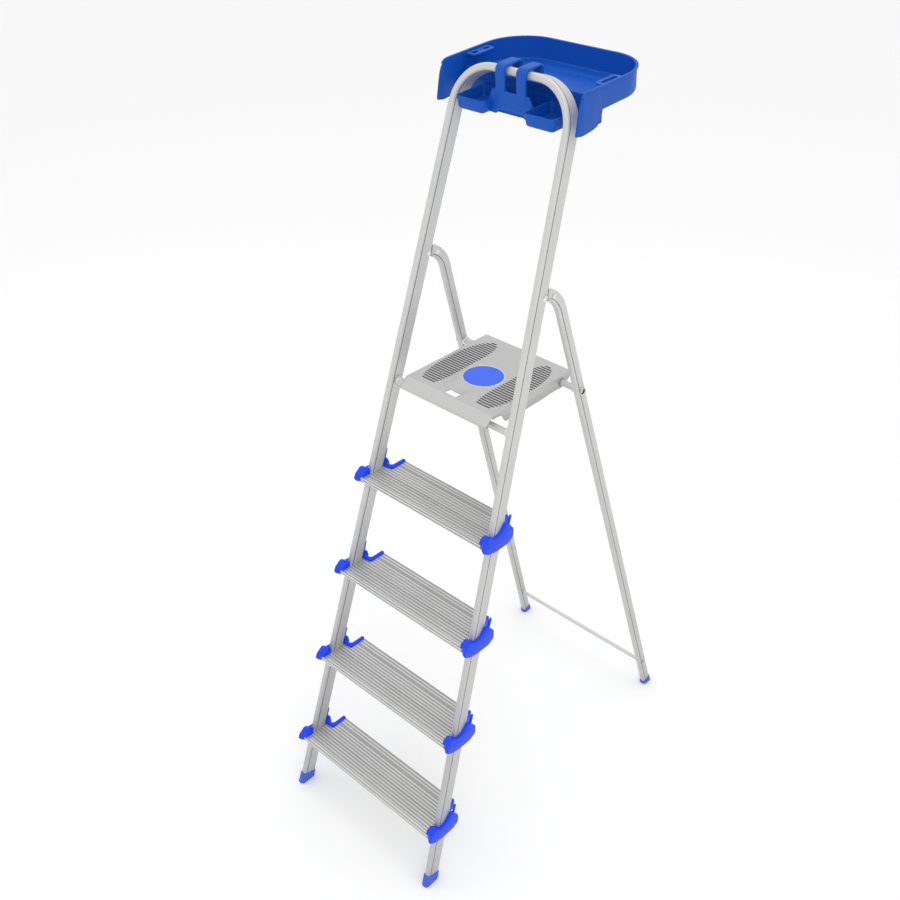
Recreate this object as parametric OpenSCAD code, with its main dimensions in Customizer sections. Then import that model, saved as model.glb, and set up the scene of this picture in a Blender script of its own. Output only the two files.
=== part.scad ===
// Folding step ladder: four treads, a standing platform, a hand-rail bow and a tool tray.
// Millimetres. +Z is up, +X is to the climber's right, -Y is the side that is climbed.
// The origin is on the floor, midway between the front of the front feet and the back of
// the rear feet, on the ladder's middle plane.

/* [Front frame] */
// Height of the top of the bow above the floor
bow_height = 1774; // [1650:1:2150]
// Distance between the two stile centrelines at the floor
foot_width = 451; // [400:1:560]
// Angle that the front frame leans back from upright
lean = 16.1; // [12:0.1:19.5]
// Angle that each stile leans inwards, in the plane of the frame
stile_taper = 2.65; // [1.8:0.05:3.2]
// Width of the stile tube, across the ladder
stile_w = 15; // [12:0.5:20]
// Depth of the stile tube, front to back
stile_d = 37; // [33:0.5:45]
// Outside corner radius of the stile tube
stile_r = 5; // [3:0.5:6]
// Wall of the stile tube
stile_wall = 1.5; // [1.2:0.1:2.5]
// Centreline radius of the two bends at the top of the bow
bow_radius = 88; // [60:1:110]

/* [Treads] */
// Height of the first tread's top face
first_tread = 161; // [130:1:195]
// Rise from one tread to the next
tread_rise = 240.5; // [200:0.5:245]
// Reach of a tread in front of the stile centreline
tread_front = 50; // [42:1:60]
// Reach of a tread behind the stile centreline
tread_back = 72; // [60:1:86]
// Height of a tread from its top to the bottom of its edges
tread_h = 25; // [21:0.5:30]
// Wall of the tread extrusion
tread_wall = 2.4; // [2:0.1:3]
// Distance from one anti-slip rib to the next
rib_pitch = 5; // [4:0.25:7]
// Depth of the grooves between the ribs
rib_depth = 1; // [0.5:0.1:1.2]

/* [Tread brackets] */
// Distance that a bracket stands out from the stile centreline
cap_reach = 15.5; // [13:0.5:24]
// Thickness of the bracket's hook wall behind the stile
hook_wall = 7; // [4:0.5:9]
// Distance of the hook wall inside the stile centreline
hook_inset = 30; // [26:1:36]
// Height that a bracket's rim stands above the tread
rim_rise = 5; // [2:0.5:8]

/* [Rear frame] */
// Distance from the front feet to the rear feet, centre to centre on the floor
foot_spread = 903; // [845:1:960]
// Distance from the fold pivots back to where the bends of the rear legs start
leg_run = 60.14; // [56:0.01:64]
// Distance between the two rear leg centrelines at the floor
rear_width = 449; // [400:1:560]
// Width of the rear leg tube, across the ladder
leg_w = 15; // [12:0.5:20]
// Depth of the rear leg tube, front to back
leg_d = 26; // [22:0.5:30]
// Outside corner radius of the rear leg tube
leg_r = 5; // [3:0.5:6]
// Wall of the rear leg tube
leg_wall = 1.4; // [1.2:0.1:2.5]
// Centreline radius of the bend at the top of a rear leg
leg_bend_r = 80; // [60:1:90]
// Steepest slope that the leg reaches at its top end, from upright
leg_end_angle = 65; // [60:1:72]
// Height where the bend starts
leg_bend_z = 1330; // [1322:1:1338]

/* [Fold] */
// Height of the fold pivots above the floor
pivot_z = 1378; // [1370:1:1384]
// Distance of the fold pivots behind the stile centreline
pivot_back = 10; // [8:0.5:12]
// Angle that the rear frame folds
fold_angle = 32; // [20:0.5:32]
// Diameter of the fold pivot rivets
pivot_d = 8; // [6:0.5:10]

/* [Platform] */
// Height of the platform's top face
platform_z = 1132; // [1126:1:1140]
// Width of the platform
platform_w = 248; // [200:1:252]
// Reach of the platform in front of the front rod
platform_nose = 10; // [8:1:16]
// Reach of the platform behind the rear rod
platform_tail = 32; // [24:1:40]
// Thickness of the platform sheet
sheet = 2; // [1.5:0.1:3]
// Height of the platform's side skirts
skirt_h = 31; // [27:1:36]
// Slope length of the platform's front band
band_depth = 26; // [20:1:30]
// Diameter of the disc in the middle of the platform
disc_d = 92; // [70:1:110]
// Distance of the disc's centre behind the platform's front edge
disc_back = 112; // [100:1:125]
// Width of the finger opening behind the front band
finger_w = 34; // [28:1:60]
// Depth of the finger opening, front to back
finger_d = 34; // [24:1:40]

/* [Cross rods] */
// Diameter of the two platform rods
rod_d = 15; // [12:0.5:16]
// Wall of the platform rods
rod_wall = 1.5; // [1:0.1:2.5]
// Height of the front rod's centre
front_rod_z = 1102; // [1098:1:1106]
// Height of the rear rod's centre
rear_rod_z = 1115; // [1112:1:1118]
// Diameter of the lower bar between the rear legs
bar_d = 10; // [8:0.5:14]
// Height of the lower bar's centre
bar_z = 97; // [80:1:200]
// Width of the flared rim round each rod end
flare = 2.5; // [1.5:0.5:4]
// Length of the collars on the rods
collar_l = 9; // [6:0.5:12]
// Wall of the collars and of the platform's bushes
collar_wall = 2.5; // [1.5:0.1:3]

/* [Feet] */
// Height of the front feet
front_foot_h = 26; // [20:1:40]
// Height of the rear feet
rear_foot_h = 15; // [12:1:30]
// Wall of the feet round the tubes
foot_wall = 2.6; // [2:0.1:4]
// Thickness of the soles
sole = 6; // [4:0.5:8]
// Depth of the grooves in the front soles
tooth_depth = 2.5; // [1.5:0.5:3]

/* [Tray] */
// Distance from the stile's centreline to the tray's side, at the bottom of the ears
tray_reach = 31.7; // [27:0.1:44]
// Distance from the top of the bow down to the tray's rim
tray_drop = 12; // [6:1:19]
// Depth of the bin behind the bow, at its rim
bin_depth = 168; // [130:1:200]
// Height of the bin's walls
bin_h = 46; // [36:1:52]
// Corner radius at the back of the bin
bin_r = 92; // [50:1:110]
// Slope of the tray, rising to the back
tray_tilt = 4; // [0:0.5:6]
// Wall of the tray
tray_wall = 2.8; // [2.2:0.1:4]
// Reach of the ears below the rim
ear_drop = 76; // [60:1:84]
// Reach of the small front boxes in front of the bow
box_reach = 34; // [24:1:45]
// Height of the small front boxes
box_h = 26; // [18:1:32]
// Distance from the stiles' centrelines, at the rim, in to the sides of the front boxes
box_gap = 16.62; // [15.6:0.01:30]
// Width of each strap over the bow
strap_w = 24; // [16:1:30]

/* [Hidden] */
$fn = 48;
// Clearance of a turning pin in its bore, on the radius
running = 0.05;
// Clearance between plastic or sheet parts and what they are fitted to
fit = 0.15;
// A straight tube runs this far into the bend that continues it, and is that much slimmer
lap = 1.5;
slim = 0.03;
// Gap kept between the ends of the rear legs and the stiles
leg_gap = 1;

// The rear legs lean forward so that their bends end at the pivots
rear_lean = atan((foot_spread - pivot_z * tan(lean) - pivot_back / cos(lean) - leg_run)
  / leg_bend_z);

// Feet outlines decide where the origin lies
front_sole = (stile_d / 2 + foot_wall) / cos(lean);
rear_sole = (leg_d / 2 + foot_wall) / cos(rear_lean);
ladder_depth = front_sole + foot_spread + rear_sole;
front_y = front_sole - ladder_depth / 2;
rear_y = front_y + foot_spread;
function stile_y(z) = front_y + z * tan(lean);
function leg_y(z) = rear_y - z * tan(rear_lean);

// Pivot of the rear frame, just behind the stile centreline
pivot_y = stile_y(pivot_z) + pivot_back / cos(lean);

// Half widths: the stile's centreline, and the middle plane of each tube at a point.
// The rear legs lean in so that they line up with the stiles at the pivot.
function stile_x(z) = foot_width / 2 - z / cos(lean) * tan(stile_taper);
function stile_mid(y, z) =
  foot_width / 2 - tan(stile_taper) * (sin(lean) * (y - front_y) + cos(lean) * z);
leg_taper = atan((rear_width / 2 - stile_mid(pivot_y, pivot_z))
  / (cos(rear_lean) * pivot_z - sin(rear_lean) * (pivot_y - rear_y)));
function leg_mid(y, z) =
  rear_width / 2 - tan(leg_taper) * (cos(rear_lean) * z - sin(rear_lean) * (y - rear_y));

// Bow: the centres of its bends, in the plane of the frame
bow_s = (bow_height - stile_d / 2 * sin(lean)) / cos(lean) - stile_w / 2;
bend_s = bow_s - bow_radius;
bend_x = foot_width / 2 - (bow_radius + bend_s * sin(stile_taper)) / cos(stile_taper);
stile_l = (bend_s + bow_radius * sin(stile_taper)) / cos(stile_taper);

// Rods and bar
front_rod_y = stile_y(front_rod_z);
rear_rod_y = leg_y(rear_rod_z);
bar_y = leg_y(bar_z);

// Platform outline, front to back
platform_front = front_rod_y - platform_nose;
platform_back = rear_rod_y + platform_tail;
band_drop = band_depth * sin(38);
band_out = band_depth * cos(38);
bead_r = 5.5;
bore_r = rod_d / 2 + collar_wall;

// Tray places: bow_y is the bow's centreline at the rim
bow_y = stile_y(bow_height - stile_w);
bin_front = stile_d / 2 / cos(lean) + 11;
tray_rim_z = bow_height - tray_drop;
tray_x = stile_x(tray_rim_z - ear_drop) + tray_reach;
// Half width of the panel between the front boxes, and the width of each box
panel_x = 50;
box_w = stile_x(tray_rim_z) - box_gap - panel_x;

function tread_z(n) = first_tread + (n - 1) * tread_rise;

// ---------- helpers ----------

// Rectangle with round corners, centred
module round_rect(w, d, r) {
  square([w - 2 * r, d], center = true);
  square([w, d - 2 * r], center = true);
  for (x = [-1, 1], y = [-1, 1])
    translate([x * (w / 2 - r), y * (d / 2 - r)]) circle(r);
}

// Moves children into the plane of the front frame: X across, Y back, Z up the stiles
module in_frame() {
  translate([0, front_y, 0]) rotate([-lean, 0, 0]) children();
}

// Moves children onto the right stile's centreline, Z up the stile
module on_stile() {
  in_frame() translate([foot_width / 2, 0, 0]) rotate([0, -stile_taper, 0]) children();
}

// Moves children onto the right rear leg's centreline, Z up the leg
module on_leg() {
  translate([rear_width / 2, rear_y, 0]) rotate([rear_lean, 0, 0])
    rotate([0, -leg_taper, 0]) children();
}

// A child on the right and its mirror image on the left
module both_sides() {
  children();
  mirror([1, 0, 0]) children();
}

// A round bar along X, centred on the ladder, at a place given as [y, z]
module cross_bar(length, d, at) {
  translate([-length / 2, at[0], at[1]]) rotate([0, 90, 0]) cylinder(h = length, d = d);
}

// Everything below a height, as a block to cut with
module below(z) {
  translate([-600, -1000, z - 300]) cube([1200, 2000, 300]);
}

// ---------- front frame ----------

// Solid shape of the bent front tube, for a section that is smaller by inset all round
module frame_shape(inset) {
  w = stile_w - 2 * inset;
  d = stile_d - 2 * inset;
  r = stile_r - inset;
  both_sides() on_stile()
    translate([0, 0, -60]) linear_extrude(height = stile_l + 60 + lap)
      round_rect(w - slim, d - slim, r);
  both_sides() in_frame() translate([bend_x, 0, bend_s]) rotate([90, 0, 0])
    rotate([0, 0, stile_taper]) rotate_extrude(angle = 90 - stile_taper, $fn = 96)
      translate([bow_radius, 0]) round_rect(w, d, r);
  in_frame() translate([-bend_x - lap, 0, bow_s]) rotate([0, 90, 0])
    linear_extrude(height = 2 * (bend_x + lap)) round_rect(w - slim, d - slim, r);
}

// Slot in the back wall of a stile for the hinge plug
module hinge_slot() {
  plug_half = plug_r + (stile_d / 2 - pivot_back) * tan(fold_angle / 2) + 6;
  translate([0, pivot_y, pivot_z]) rotate([-lean, 0, 0])
    translate([pivot_x - plug_w / 2 - 0.5, 0, -plug_half])
      cube([plug_w + 1, stile_d, 2 * plug_half]);
}

module front_frame() {
  color("silver") difference() {
    frame_shape(0);
    frame_shape(stile_wall);
    below(sole);
    cross_bar(foot_width, rod_d, [front_rod_y, front_rod_z]);
    cross_bar(foot_width, pivot_d, [pivot_y, pivot_z]);
    both_sides() hinge_slot();
    for (n = [1:4])
      cross_bar(foot_width + 40, rivet_d, [rivet_y(n), rivet_z(n)]);
  }
}

// ---------- treads ----------

// Side outline of a tread: X is front to back from the stile, Y is up from the tread's top
module tread_outline() {
  ribs = floor((tread_front + tread_back - 12) / rib_pitch);
  start = -(tread_front) + (tread_front + tread_back - (ribs - 1) * rib_pitch) / 2;
  difference() {
    translate([-tread_front, -tread_h]) square([tread_front + tread_back, tread_h]);
    translate([-tread_front + tread_wall, -tread_h - 1])
      square([tread_front + tread_back - 2 * tread_wall, tread_h - tread_wall + 1]);
    for (i = [0:ribs - 1])
      translate([start + i * rib_pitch - rib_pitch / 4, -rib_depth])
        square([rib_pitch / 2, rib_depth + 1]);
  }
}

module tread(n) {
  half = stile_x(tread_z(n));
  color("silver") difference() {
    translate([-half, stile_y(tread_z(n)), tread_z(n)]) rotate([90, 0, 90])
      linear_extrude(height = 2 * half) tread_outline();
    both_sides() tread_notch(n);
  }
}

// What a tread leaves out at its right end: the stile, and the corner behind the stile
module tread_notch(n) {
  notch = stile_d + tread_back;
  on_stile() translate([-stile_w / 2 - fit, -stile_d / 2 - fit, (tread_z(n) - 60) / cos(lean)])
    cube([stile_w * 2, notch, 110]);
  translate([stile_x(tread_z(n)) - hook_inset, stile_y(tread_z(n)) + hook_y, tread_z(n) - 60])
    cube([hook_inset * 2, tread_back, 90]);
}

// ---------- tread brackets ----------

// Place of the hook wall's front face behind the stile centreline
hook_y = stile_d / 2 / cos(lean) + 5;
rivet_d = 5;
rivet_drop = 13;
function rivet_z(n) = tread_z(n) - rivet_drop;
function rivet_y(n) = stile_y(rivet_z(n));

// Side outline of a bracket's outer cap, measured from the stile centreline and tread top
module cap_outline() {
  nose = -tread_front - 7;
  tail = stile_d / 2 + 28;
  low = -tread_h - 4;
  difference() {
    polygon([[nose, 4], [nose + 5, 15], [nose + 17, 20], [20, 27], [27, 24], [tail, 4],
      [tail, low + 9], [tail - 18, low], [-8, low], [nose + 26, low + 7], [nose + 6, -6]]);
    translate([-8, 36]) circle(28.5, $fn = 96);
  }
}

// Seen from above: the hook wall behind the stile, from the cap to the tread's back edge
module hook_plan() {
  translate([-hook_inset, hook_y]) square([hook_inset + cap_reach, hook_wall]);
  translate([-hook_inset, hook_y]) square([hook_wall, tread_back - hook_y]);
  translate([-hook_wall * 0.6, hook_y]) square([cap_reach + hook_wall * 0.6, 18]);
}

// The right bracket of tread n
module bracket(n) {
  x = stile_x(tread_z(n));
  color([0.31, 0.43, 0.9]) difference() {
    translate([x, stile_y(tread_z(n)), tread_z(n)]) {
      rotate([90, 0, 90]) linear_extrude(height = cap_reach) cap_outline();
      difference() {
        translate([-5, 0, 0]) rotate([90, 0, 90]) linear_extrude(height = 5) cap_outline();
        translate([-8, -tread_front, -tread_h - 6]) cube([16, 300, tread_h + 6]);
        translate([-8, -16, -60]) cube([16, 200, 120]);
      }
      translate([0, 0, -tread_h]) linear_extrude(height = tread_h + rim_rise) hook_plan();
      translate([-4, 0, 0]) rotate([90, 0, 90]) linear_extrude(height = 8)
        polygon([[hook_y, 0], [hook_y + 16, 0], [hook_y + 23, 32], [hook_y + 12, 32]]);
    }
    on_stile() translate([0, 0, tread_z(n) - 80])
      linear_extrude(height = 200) round_rect(stile_w + 2 * fit, stile_d + 2 * fit, stile_r);
    cross_bar(2 * x + 24, rivet_d, [rivet_y(n), rivet_z(n)]);
  }
}

// One rivet through each stile into its bracket, with its head hidden under the tread
module bracket_rivets() {
  color("gainsboro") both_sides() for (n = [1:4]) {
    inner = seat(stile_mid(rivet_y(n), rivet_z(n)), stile_w, stile_taper, rivet_d, -1);
    translate([inner - 2, rivet_y(n), rivet_z(n)]) rotate([0, 90, 0]) {
      cylinder(h = stile_w + 6, d = rivet_d);
      cylinder(h = 2, d = 2 * rivet_d);
    }
  }
}

// ---------- front rod and its collars ----------

// A tube across the ladder with a flared rim outside each of the two uprights
module flared_rod(outer, d, wall, at) {
  difference() {
    union() {
      cross_bar(2 * outer + 3, d, at);
      both_sides() translate([outer, at[0], at[1]]) rotate([0, 90, 0])
        cylinder(h = 1.5, d = d + 2 * flare);
    }
    cross_bar(2 * outer + 10, d - 2 * wall, at);
  }
}

// A collar on a rod against the inside of each upright
module collars(inner, d, at) {
  both_sides() translate([inner - collar_l, at[0], at[1]]) rotate([0, 90, 0]) difference() {
    cylinder(h = collar_l, d = d + 2 * collar_wall);
    translate([0, 0, -1]) cylinder(h = collar_l + 2, d = d);
  }
}

// Where a round face of radius r, square to X, just touches the side of an upright whose
// middle plane is at mid there: side is 1 for the outer face and -1 for the inner one
function seat(mid, width, tilt, r, side) = mid + side * (width / 2 / cos(tilt) + r * tan(tilt));
flare_r = rod_d / 2 + flare;
front_mid = stile_mid(front_rod_y, front_rod_z);
rear_mid = leg_mid(rear_rod_y, rear_rod_z);
front_outer = seat(front_mid, stile_w, stile_taper, flare_r, 1);
front_inner = seat(front_mid, stile_w, stile_taper, flare_r, -1);
rear_outer = seat(rear_mid, leg_w, leg_taper, flare_r, 1);
rear_inner = seat(rear_mid, leg_w, leg_taper, flare_r, -1);
bar_outer = seat(leg_mid(bar_y, bar_z), leg_w, leg_taper, bar_d / 2 + flare, 1);

module front_rod() {
  color("silver") flared_rod(front_outer, rod_d, rod_wall, [front_rod_y, front_rod_z]);
}

module front_rod_collars() {
  color("gainsboro") collars(front_inner, rod_d, [front_rod_y, front_rod_z]);
}

// ---------- fold pivots ----------

plug_w = 9.5;
plug_r = 11;
head_d = pivot_d + 6;
pivot_x = stile_mid(pivot_y, pivot_z);
pivot_outer = seat(pivot_x, stile_w, stile_taper, head_d / 2, 1);
pivot_inner = seat(pivot_x, stile_w, stile_taper, head_d / 2, -1);

// Right pivot rivet: a shank through both walls of the stile and a low head on each side
module pivot_rivet() {
  color("gainsboro") translate([0, pivot_y, pivot_z]) rotate([0, 90, 0]) {
    translate([0, 0, pivot_inner - 0.5])
      cylinder(h = pivot_outer - pivot_inner + 1, d = pivot_d);
    translate([0, 0, pivot_inner - 1.6]) cylinder(h = 1.6, d = head_d);
    translate([0, 0, pivot_outer]) cylinder(h = 1.6, d = head_d);
  }
}

// ---------- rear legs ----------

leg_bend_l = leg_bend_z / cos(rear_lean) / cos(leg_taper);
leg_turn = leg_end_angle - rear_lean;

// Solid shape of the right rear leg, for a section that is smaller by inset all round
module leg_shape(inset) {
  w = leg_w - 2 * inset;
  d = leg_d - 2 * inset;
  r = leg_r - inset;
  on_leg() {
    translate([0, 0, -60]) linear_extrude(height = leg_bend_l + 60 + lap)
      round_rect(w - slim, d - slim, r);
    translate([0, -leg_bend_r, leg_bend_l]) rotate([90, 0, 90])
      rotate_extrude(angle = leg_turn, $fn = 96) translate([leg_bend_r, 0]) round_rect(d, w, r);
    translate([0, -leg_bend_r, leg_bend_l]) rotate([leg_turn, 0, 0])
      translate([0, leg_bend_r, -lap]) linear_extrude(height = 40)
        round_rect(w - slim, d - slim, r);
  }
}

// What is cut off a leg's end: all that lies in front of the stile's back face,
// with the ladder open and again with it folded
module leg_end_cut() {
  for (turn = [0, fold_angle])
    translate([0, pivot_y, pivot_z]) rotate([turn - lean, 0, 0])
      translate([0, stile_d / 2 - pivot_back + leg_gap - 100, -60]) cube([400, 100, 160]);
}

module rear_leg() {
  color("silver") difference() {
    leg_shape(0);
    leg_shape(leg_wall);
    leg_end_cut();
    below(sole);
    cross_bar(rear_width + 40, rod_d, [rear_rod_y, rear_rod_z]);
    cross_bar(rear_width + 40, bar_d, [bar_y, bar_z]);
    cross_bar(rear_width, rivet_d, plug_rivet_at);
  }
}

// ---------- hinge plugs ----------

plug_length = 34;
plug_rivet_at = [pivot_y + 28, pivot_z - 5];

// Cast plug in the right leg's end, with an eye round the pivot rivet
module hinge_plug() {
  color("lightgray") difference() {
    union() {
      intersection() {
        leg_shape(leg_wall + fit);
        translate([0, pivot_y, pivot_z - 60]) cube([400, plug_length + 8, 120]);
        plug_room();
      }
      translate([pivot_x - plug_w / 2, pivot_y, pivot_z]) rotate([0, 90, 0])
        cylinder(h = plug_w, r = plug_r);
      translate([pivot_x - plug_w / 2, pivot_y, pivot_z - 8]) cube([plug_w, 24, 16]);
    }
    cross_bar(foot_width, pivot_d + 2 * running, [pivot_y, pivot_z]);
    cross_bar(rear_width, rivet_d, plug_rivet_at);
  }
}

// The space that the plug's wide part may fill without meeting the stile
module plug_room() {
  difference() {
    translate([0, pivot_y - 100, pivot_z - 100]) cube([400, 200, 200]);
    leg_end_cut();
  }
}

module hinge_plug_rivets() {
  at = plug_rivet_at;
  mid = leg_mid(at[0], at[1]);
  outer = seat(mid, leg_w, leg_taper, rivet_d, 1);
  inner = seat(mid, leg_w, leg_taper, rivet_d, -1);
  color("gainsboro") both_sides() translate([0, at[0], at[1]]) rotate([0, 90, 0]) {
    translate([0, 0, inner - 0.5]) cylinder(h = outer - inner + 1, d = rivet_d);
    translate([0, 0, inner - 1]) cylinder(h = 1, d = 2 * rivet_d);
    translate([0, 0, outer]) cylinder(h = 1, d = 2 * rivet_d);
  }
}

// ---------- rear rods ----------

module rear_rod() {
  color("silver") flared_rod(rear_outer, rod_d, rod_wall, [rear_rod_y, rear_rod_z]);
}

module rear_rod_collars() {
  color("gainsboro") collars(rear_inner, rod_d, [rear_rod_y, rear_rod_z]);
}

module lower_bar() {
  color("silver") flared_rod(bar_outer, bar_d, rod_wall, [bar_y, bar_z]);
}

// ---------- feet ----------

// The right front foot: a shoe round the stile's end with a toothed sole
module front_foot() {
  teeth = 4;
  pitch = 2 * front_sole / (teeth + 1);
  color([0.31, 0.43, 0.9]) difference() {
    on_stile() translate([0, 0, -40]) linear_extrude(height = 40 + front_foot_h)
      round_rect(stile_w + 2 * foot_wall, stile_d + 2 * foot_wall, stile_r + foot_wall);
    below(0);
    difference() {
      on_stile() translate([0, 0, -20]) linear_extrude(height = 80)
        round_rect(stile_w, stile_d, stile_r);
      below(sole);
    }
    for (i = [1:teeth])
      translate([0, front_y - front_sole + i * pitch - pitch / 4, -1])
        cube([foot_width, pitch / 2, tooth_depth + 1]);
  }
}

// The right rear foot: a thin cap round the leg's end
module rear_foot() {
  color([0.31, 0.43, 0.9]) difference() {
    on_leg() translate([0, 0, -40]) linear_extrude(height = 40 + rear_foot_h)
      round_rect(leg_w + 2 * foot_wall, leg_d + 2 * foot_wall, leg_r + foot_wall);
    below(0);
    difference() {
      on_leg() translate([0, 0, -20]) linear_extrude(height = 80)
        round_rect(leg_w, leg_d, leg_r);
      below(sole);
    }
  }
}

// ---------- platform ----------

// Side outline of the pressed sheet: top, sloping front band, bead and return flange
module platform_outline() {
  front = platform_front;
  top = platform_z;
  toe = [front - band_out, top - band_drop];
  translate([front, top - sheet]) square([platform_back - front, sheet]);
  polygon([[front, top], [front + sheet, top - sheet], toe + [sheet * 0.8, -sheet * 0.8], toe]);
  translate(toe + [bead_r * 0.8, -bead_r * 0.75]) difference() {
    circle(bead_r);
    circle(bead_r - sheet);
    translate([0.3 * bead_r, 0]) square([bead_r * 2, bead_r * 2]);
  }
  translate(toe + [bead_r, -1.75 * bead_r]) square([8, sheet]);
  translate([platform_back - sheet, top - 12]) square([sheet, 12]);
}

// Side outline of a skirt: deep in the middle, shallower at the tail
module skirt_outline() {
  front = platform_front;
  top = platform_z;
  rod_top = front_rod_z + rod_d / 2;
  polygon([[front + sheet, top - sheet], [front + 4, rod_top + 0.3],
    [front_rod_y + rod_d / 2 + 4, rod_top + 0.3], [front_rod_y + 34, top - skirt_h],
    [rear_rod_y - 80, top - skirt_h], [rear_rod_y, rear_rod_z - bore_r - 3],
    [rear_rod_y + 14, rear_rod_z - 6], [platform_back - sheet, top - 12],
    [platform_back, top - sheet]]);
  translate([rear_rod_y, rear_rod_z]) circle(bore_r + 3);
}

module platform() {
  half = platform_w / 2;
  color("lightgray") difference() {
    union() {
      translate([-half, 0, 0]) rotate([90, 0, 90])
        linear_extrude(height = platform_w) platform_outline();
      both_sides() translate([half - sheet, 0, 0]) rotate([90, 0, 90])
        linear_extrude(height = sheet) skirt_outline();
    }
    cross_bar(platform_w + 10, 2 * bore_r, [rear_rod_y, rear_rod_z]);
    translate([0, platform_front + disc_back, platform_z - 10])
      cylinder(h = 20, d = disc_d - 12);
    translate([-finger_w / 2, platform_front + 5, platform_z - 10])
      cube([finger_w, finger_d, 20]);
  }
}

module platform_disc() {
  color([0.3, 0.45, 0.98]) translate([0, platform_front + disc_back, platform_z]) {
    cylinder(h = 1, d = disc_d);
    translate([0, 0, -sheet]) cylinder(h = sheet, d = disc_d - 12 - 2 * fit);
  }
}

// Two plastic bushes in the skirts, turning on the rear rod
module platform_bushes() {
  color("dimgray") both_sides()
    translate([platform_w / 2 - sheet - 10, rear_rod_y, rear_rod_z]) rotate([0, 90, 0])
      difference() {
        union() {
          cylinder(h = 10 + sheet + 1, r = bore_r);
          cylinder(h = 10, r = bore_r + 2);
        }
        translate([0, 0, -1]) cylinder(h = 20, r = rod_d / 2 + running);
      }
}

// ---------- tray ----------

// Moves children so that Y = 0 is the bow's centreline and Z = 0 is the tray's rim there
module at_tray() {
  translate([0, bow_y, tray_rim_z]) rotate([tray_tilt, 0, 0]) children();
}

// Seen from above: the bin's outline, smaller by inset, open ends at the given front line
module bin_plan(front, inset) {
  x = tray_x - inset;
  back = bin_front + bin_depth - inset;
  r = bin_r - inset;
  translate([-x, front]) square([2 * x, back - r - front]);
  translate([-x + r, front]) square([2 * (x - r), back - front]);
  intersection() {
    translate([-x, back - r]) square([2 * x, r]);
    for (s = [-1, 1]) translate([s * (x - r), back - r]) circle(r, $fn = 96);
  }
}

// Side outline of an ear: a wall outside the stile that hangs below the rim
module ear_outline() {
  front = -stile_d / 2 - 20;
  polygon([[front, -14], [front + 14, 0], [bin_front + 1, 0], [bin_front + 1, -bin_h],
    [-2, -bin_h], [-8, -ear_drop + 8], [-32, -ear_drop], [front - 12, -ear_drop + 4]]);
}

// A small open box in front of the bow, reaching back under it to the bin
module front_box() {
  inner = panel_x;
  length = box_reach + stile_d / 2 + bin_front;
  start = -box_reach - stile_d / 2;
  translate([inner, start, box_floor]) difference() {
    cube([box_w, length, box_h]);
    translate([tray_wall, tray_wall, tray_wall])
      cube([box_w - 2 * tray_wall, length, box_h]);
  }
}

box_floor = -ear_drop - 2;
strap_x = 26;
strap_top = bow_height - tray_rim_z + 7;

module tray() {
  color([0.11, 0.32, 0.68]) at_tray() {
    difference() {
      translate([0, 0, -bin_h]) linear_extrude(height = bin_h) bin_plan(bin_front, 0);
      translate([0, 0, -bin_h + tray_wall]) linear_extrude(height = bin_h)
        bin_plan(bin_front + tray_wall, tray_wall);
      translate([-tray_x + 30, bin_front - 1, -16]) cube([2 * tray_x - 60, tray_wall + 2, 20]);
    }
    both_sides() translate([tray_x - tray_wall, 0, 0]) rotate([90, 0, 90])
      linear_extrude(height = tray_wall) ear_outline();
    both_sides() front_box();
    tray_panel();
  }
}

// The middle panel between the boxes and the two straps that hook over the bow
module tray_panel() {
  front = -stile_d / 2 - 10;
  base = box_floor + box_h;
  translate([-panel_x, front, box_floor]) cube([2 * panel_x, tray_wall, 50]);
  translate([-panel_x, front, box_floor]) cube([2 * panel_x, bin_front - front, tray_wall]);
  translate([-panel_x, bin_front, box_floor]) cube([2 * panel_x, tray_wall, -bin_h - box_floor + 1]);
  both_sides() translate([panel_x, bin_front, box_floor])
    cube([box_w, tray_wall, -bin_h - box_floor + 1]);
  for (s = [-1, 1]) translate([s * strap_x - strap_w / 2, 0, 0]) {
    translate([0, front, base]) cube([strap_w, 5, strap_top - base]);
    translate([0, front, strap_top - 5]) cube([strap_w, bin_front - front - 3.5, 5]);
    translate([0, bin_front - 8, strap_top - 16]) cube([strap_w, 4.5, 16]);
  }
}

// A flat tab on the rim of the tray with openings for tools
module tool_tab() {
  color([0.16, 0.38, 0.74]) at_tray() translate([tray_x - tray_wall - 26, bin_front + 6, -5])
    difference() {
      cube([26, 64, 3]);
      children();
    }
}

module tool_holder_right() {
  tool_tab() translate([8, 10, -1]) cube([10, 44, 5]);
}

module tool_holder_left() {
  mirror([1, 0, 0]) tool_tab() {
    translate([8, 6, -1]) cube([11, 18, 5]);
    translate([8, 40, -1]) cube([11, 18, 5]);
    translate([13.5, 32, -1]) cylinder(h = 5, d = 5);
  }
}

// ---------- nodes ----------

front_frame();
tread(1);  // tread_1
tread(2);  // tread_2
tread(3);  // tread_3
tread(4);  // tread_4
mirror([1, 0, 0]) bracket(1);  // bracket_left_1
mirror([1, 0, 0]) bracket(2);  // bracket_left_2
mirror([1, 0, 0]) bracket(3);  // bracket_left_3
mirror([1, 0, 0]) bracket(4);  // bracket_left_4
bracket(1);  // bracket_right_1
bracket(2);  // bracket_right_2
bracket(3);  // bracket_right_3
bracket(4);  // bracket_right_4
bracket_rivets();
mirror([1, 0, 0]) front_foot();  // front_foot_left
front_foot();  // front_foot_right
front_rod();
front_rod_collars();
mirror([1, 0, 0]) pivot_rivet();  // pivot_rivet_left
pivot_rivet();  // pivot_rivet_right
mirror([1, 0, 0]) rear_leg();  // rear_leg_left
rear_leg();  // rear_leg_right
mirror([1, 0, 0]) hinge_plug();  // hinge_plug_left
hinge_plug();  // hinge_plug_right
hinge_plug_rivets();
rear_rod();
rear_rod_collars();
lower_bar();
mirror([1, 0, 0]) rear_foot();  // rear_foot_left
rear_foot();  // rear_foot_right
platform();
platform_disc();
platform_bushes();
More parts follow.
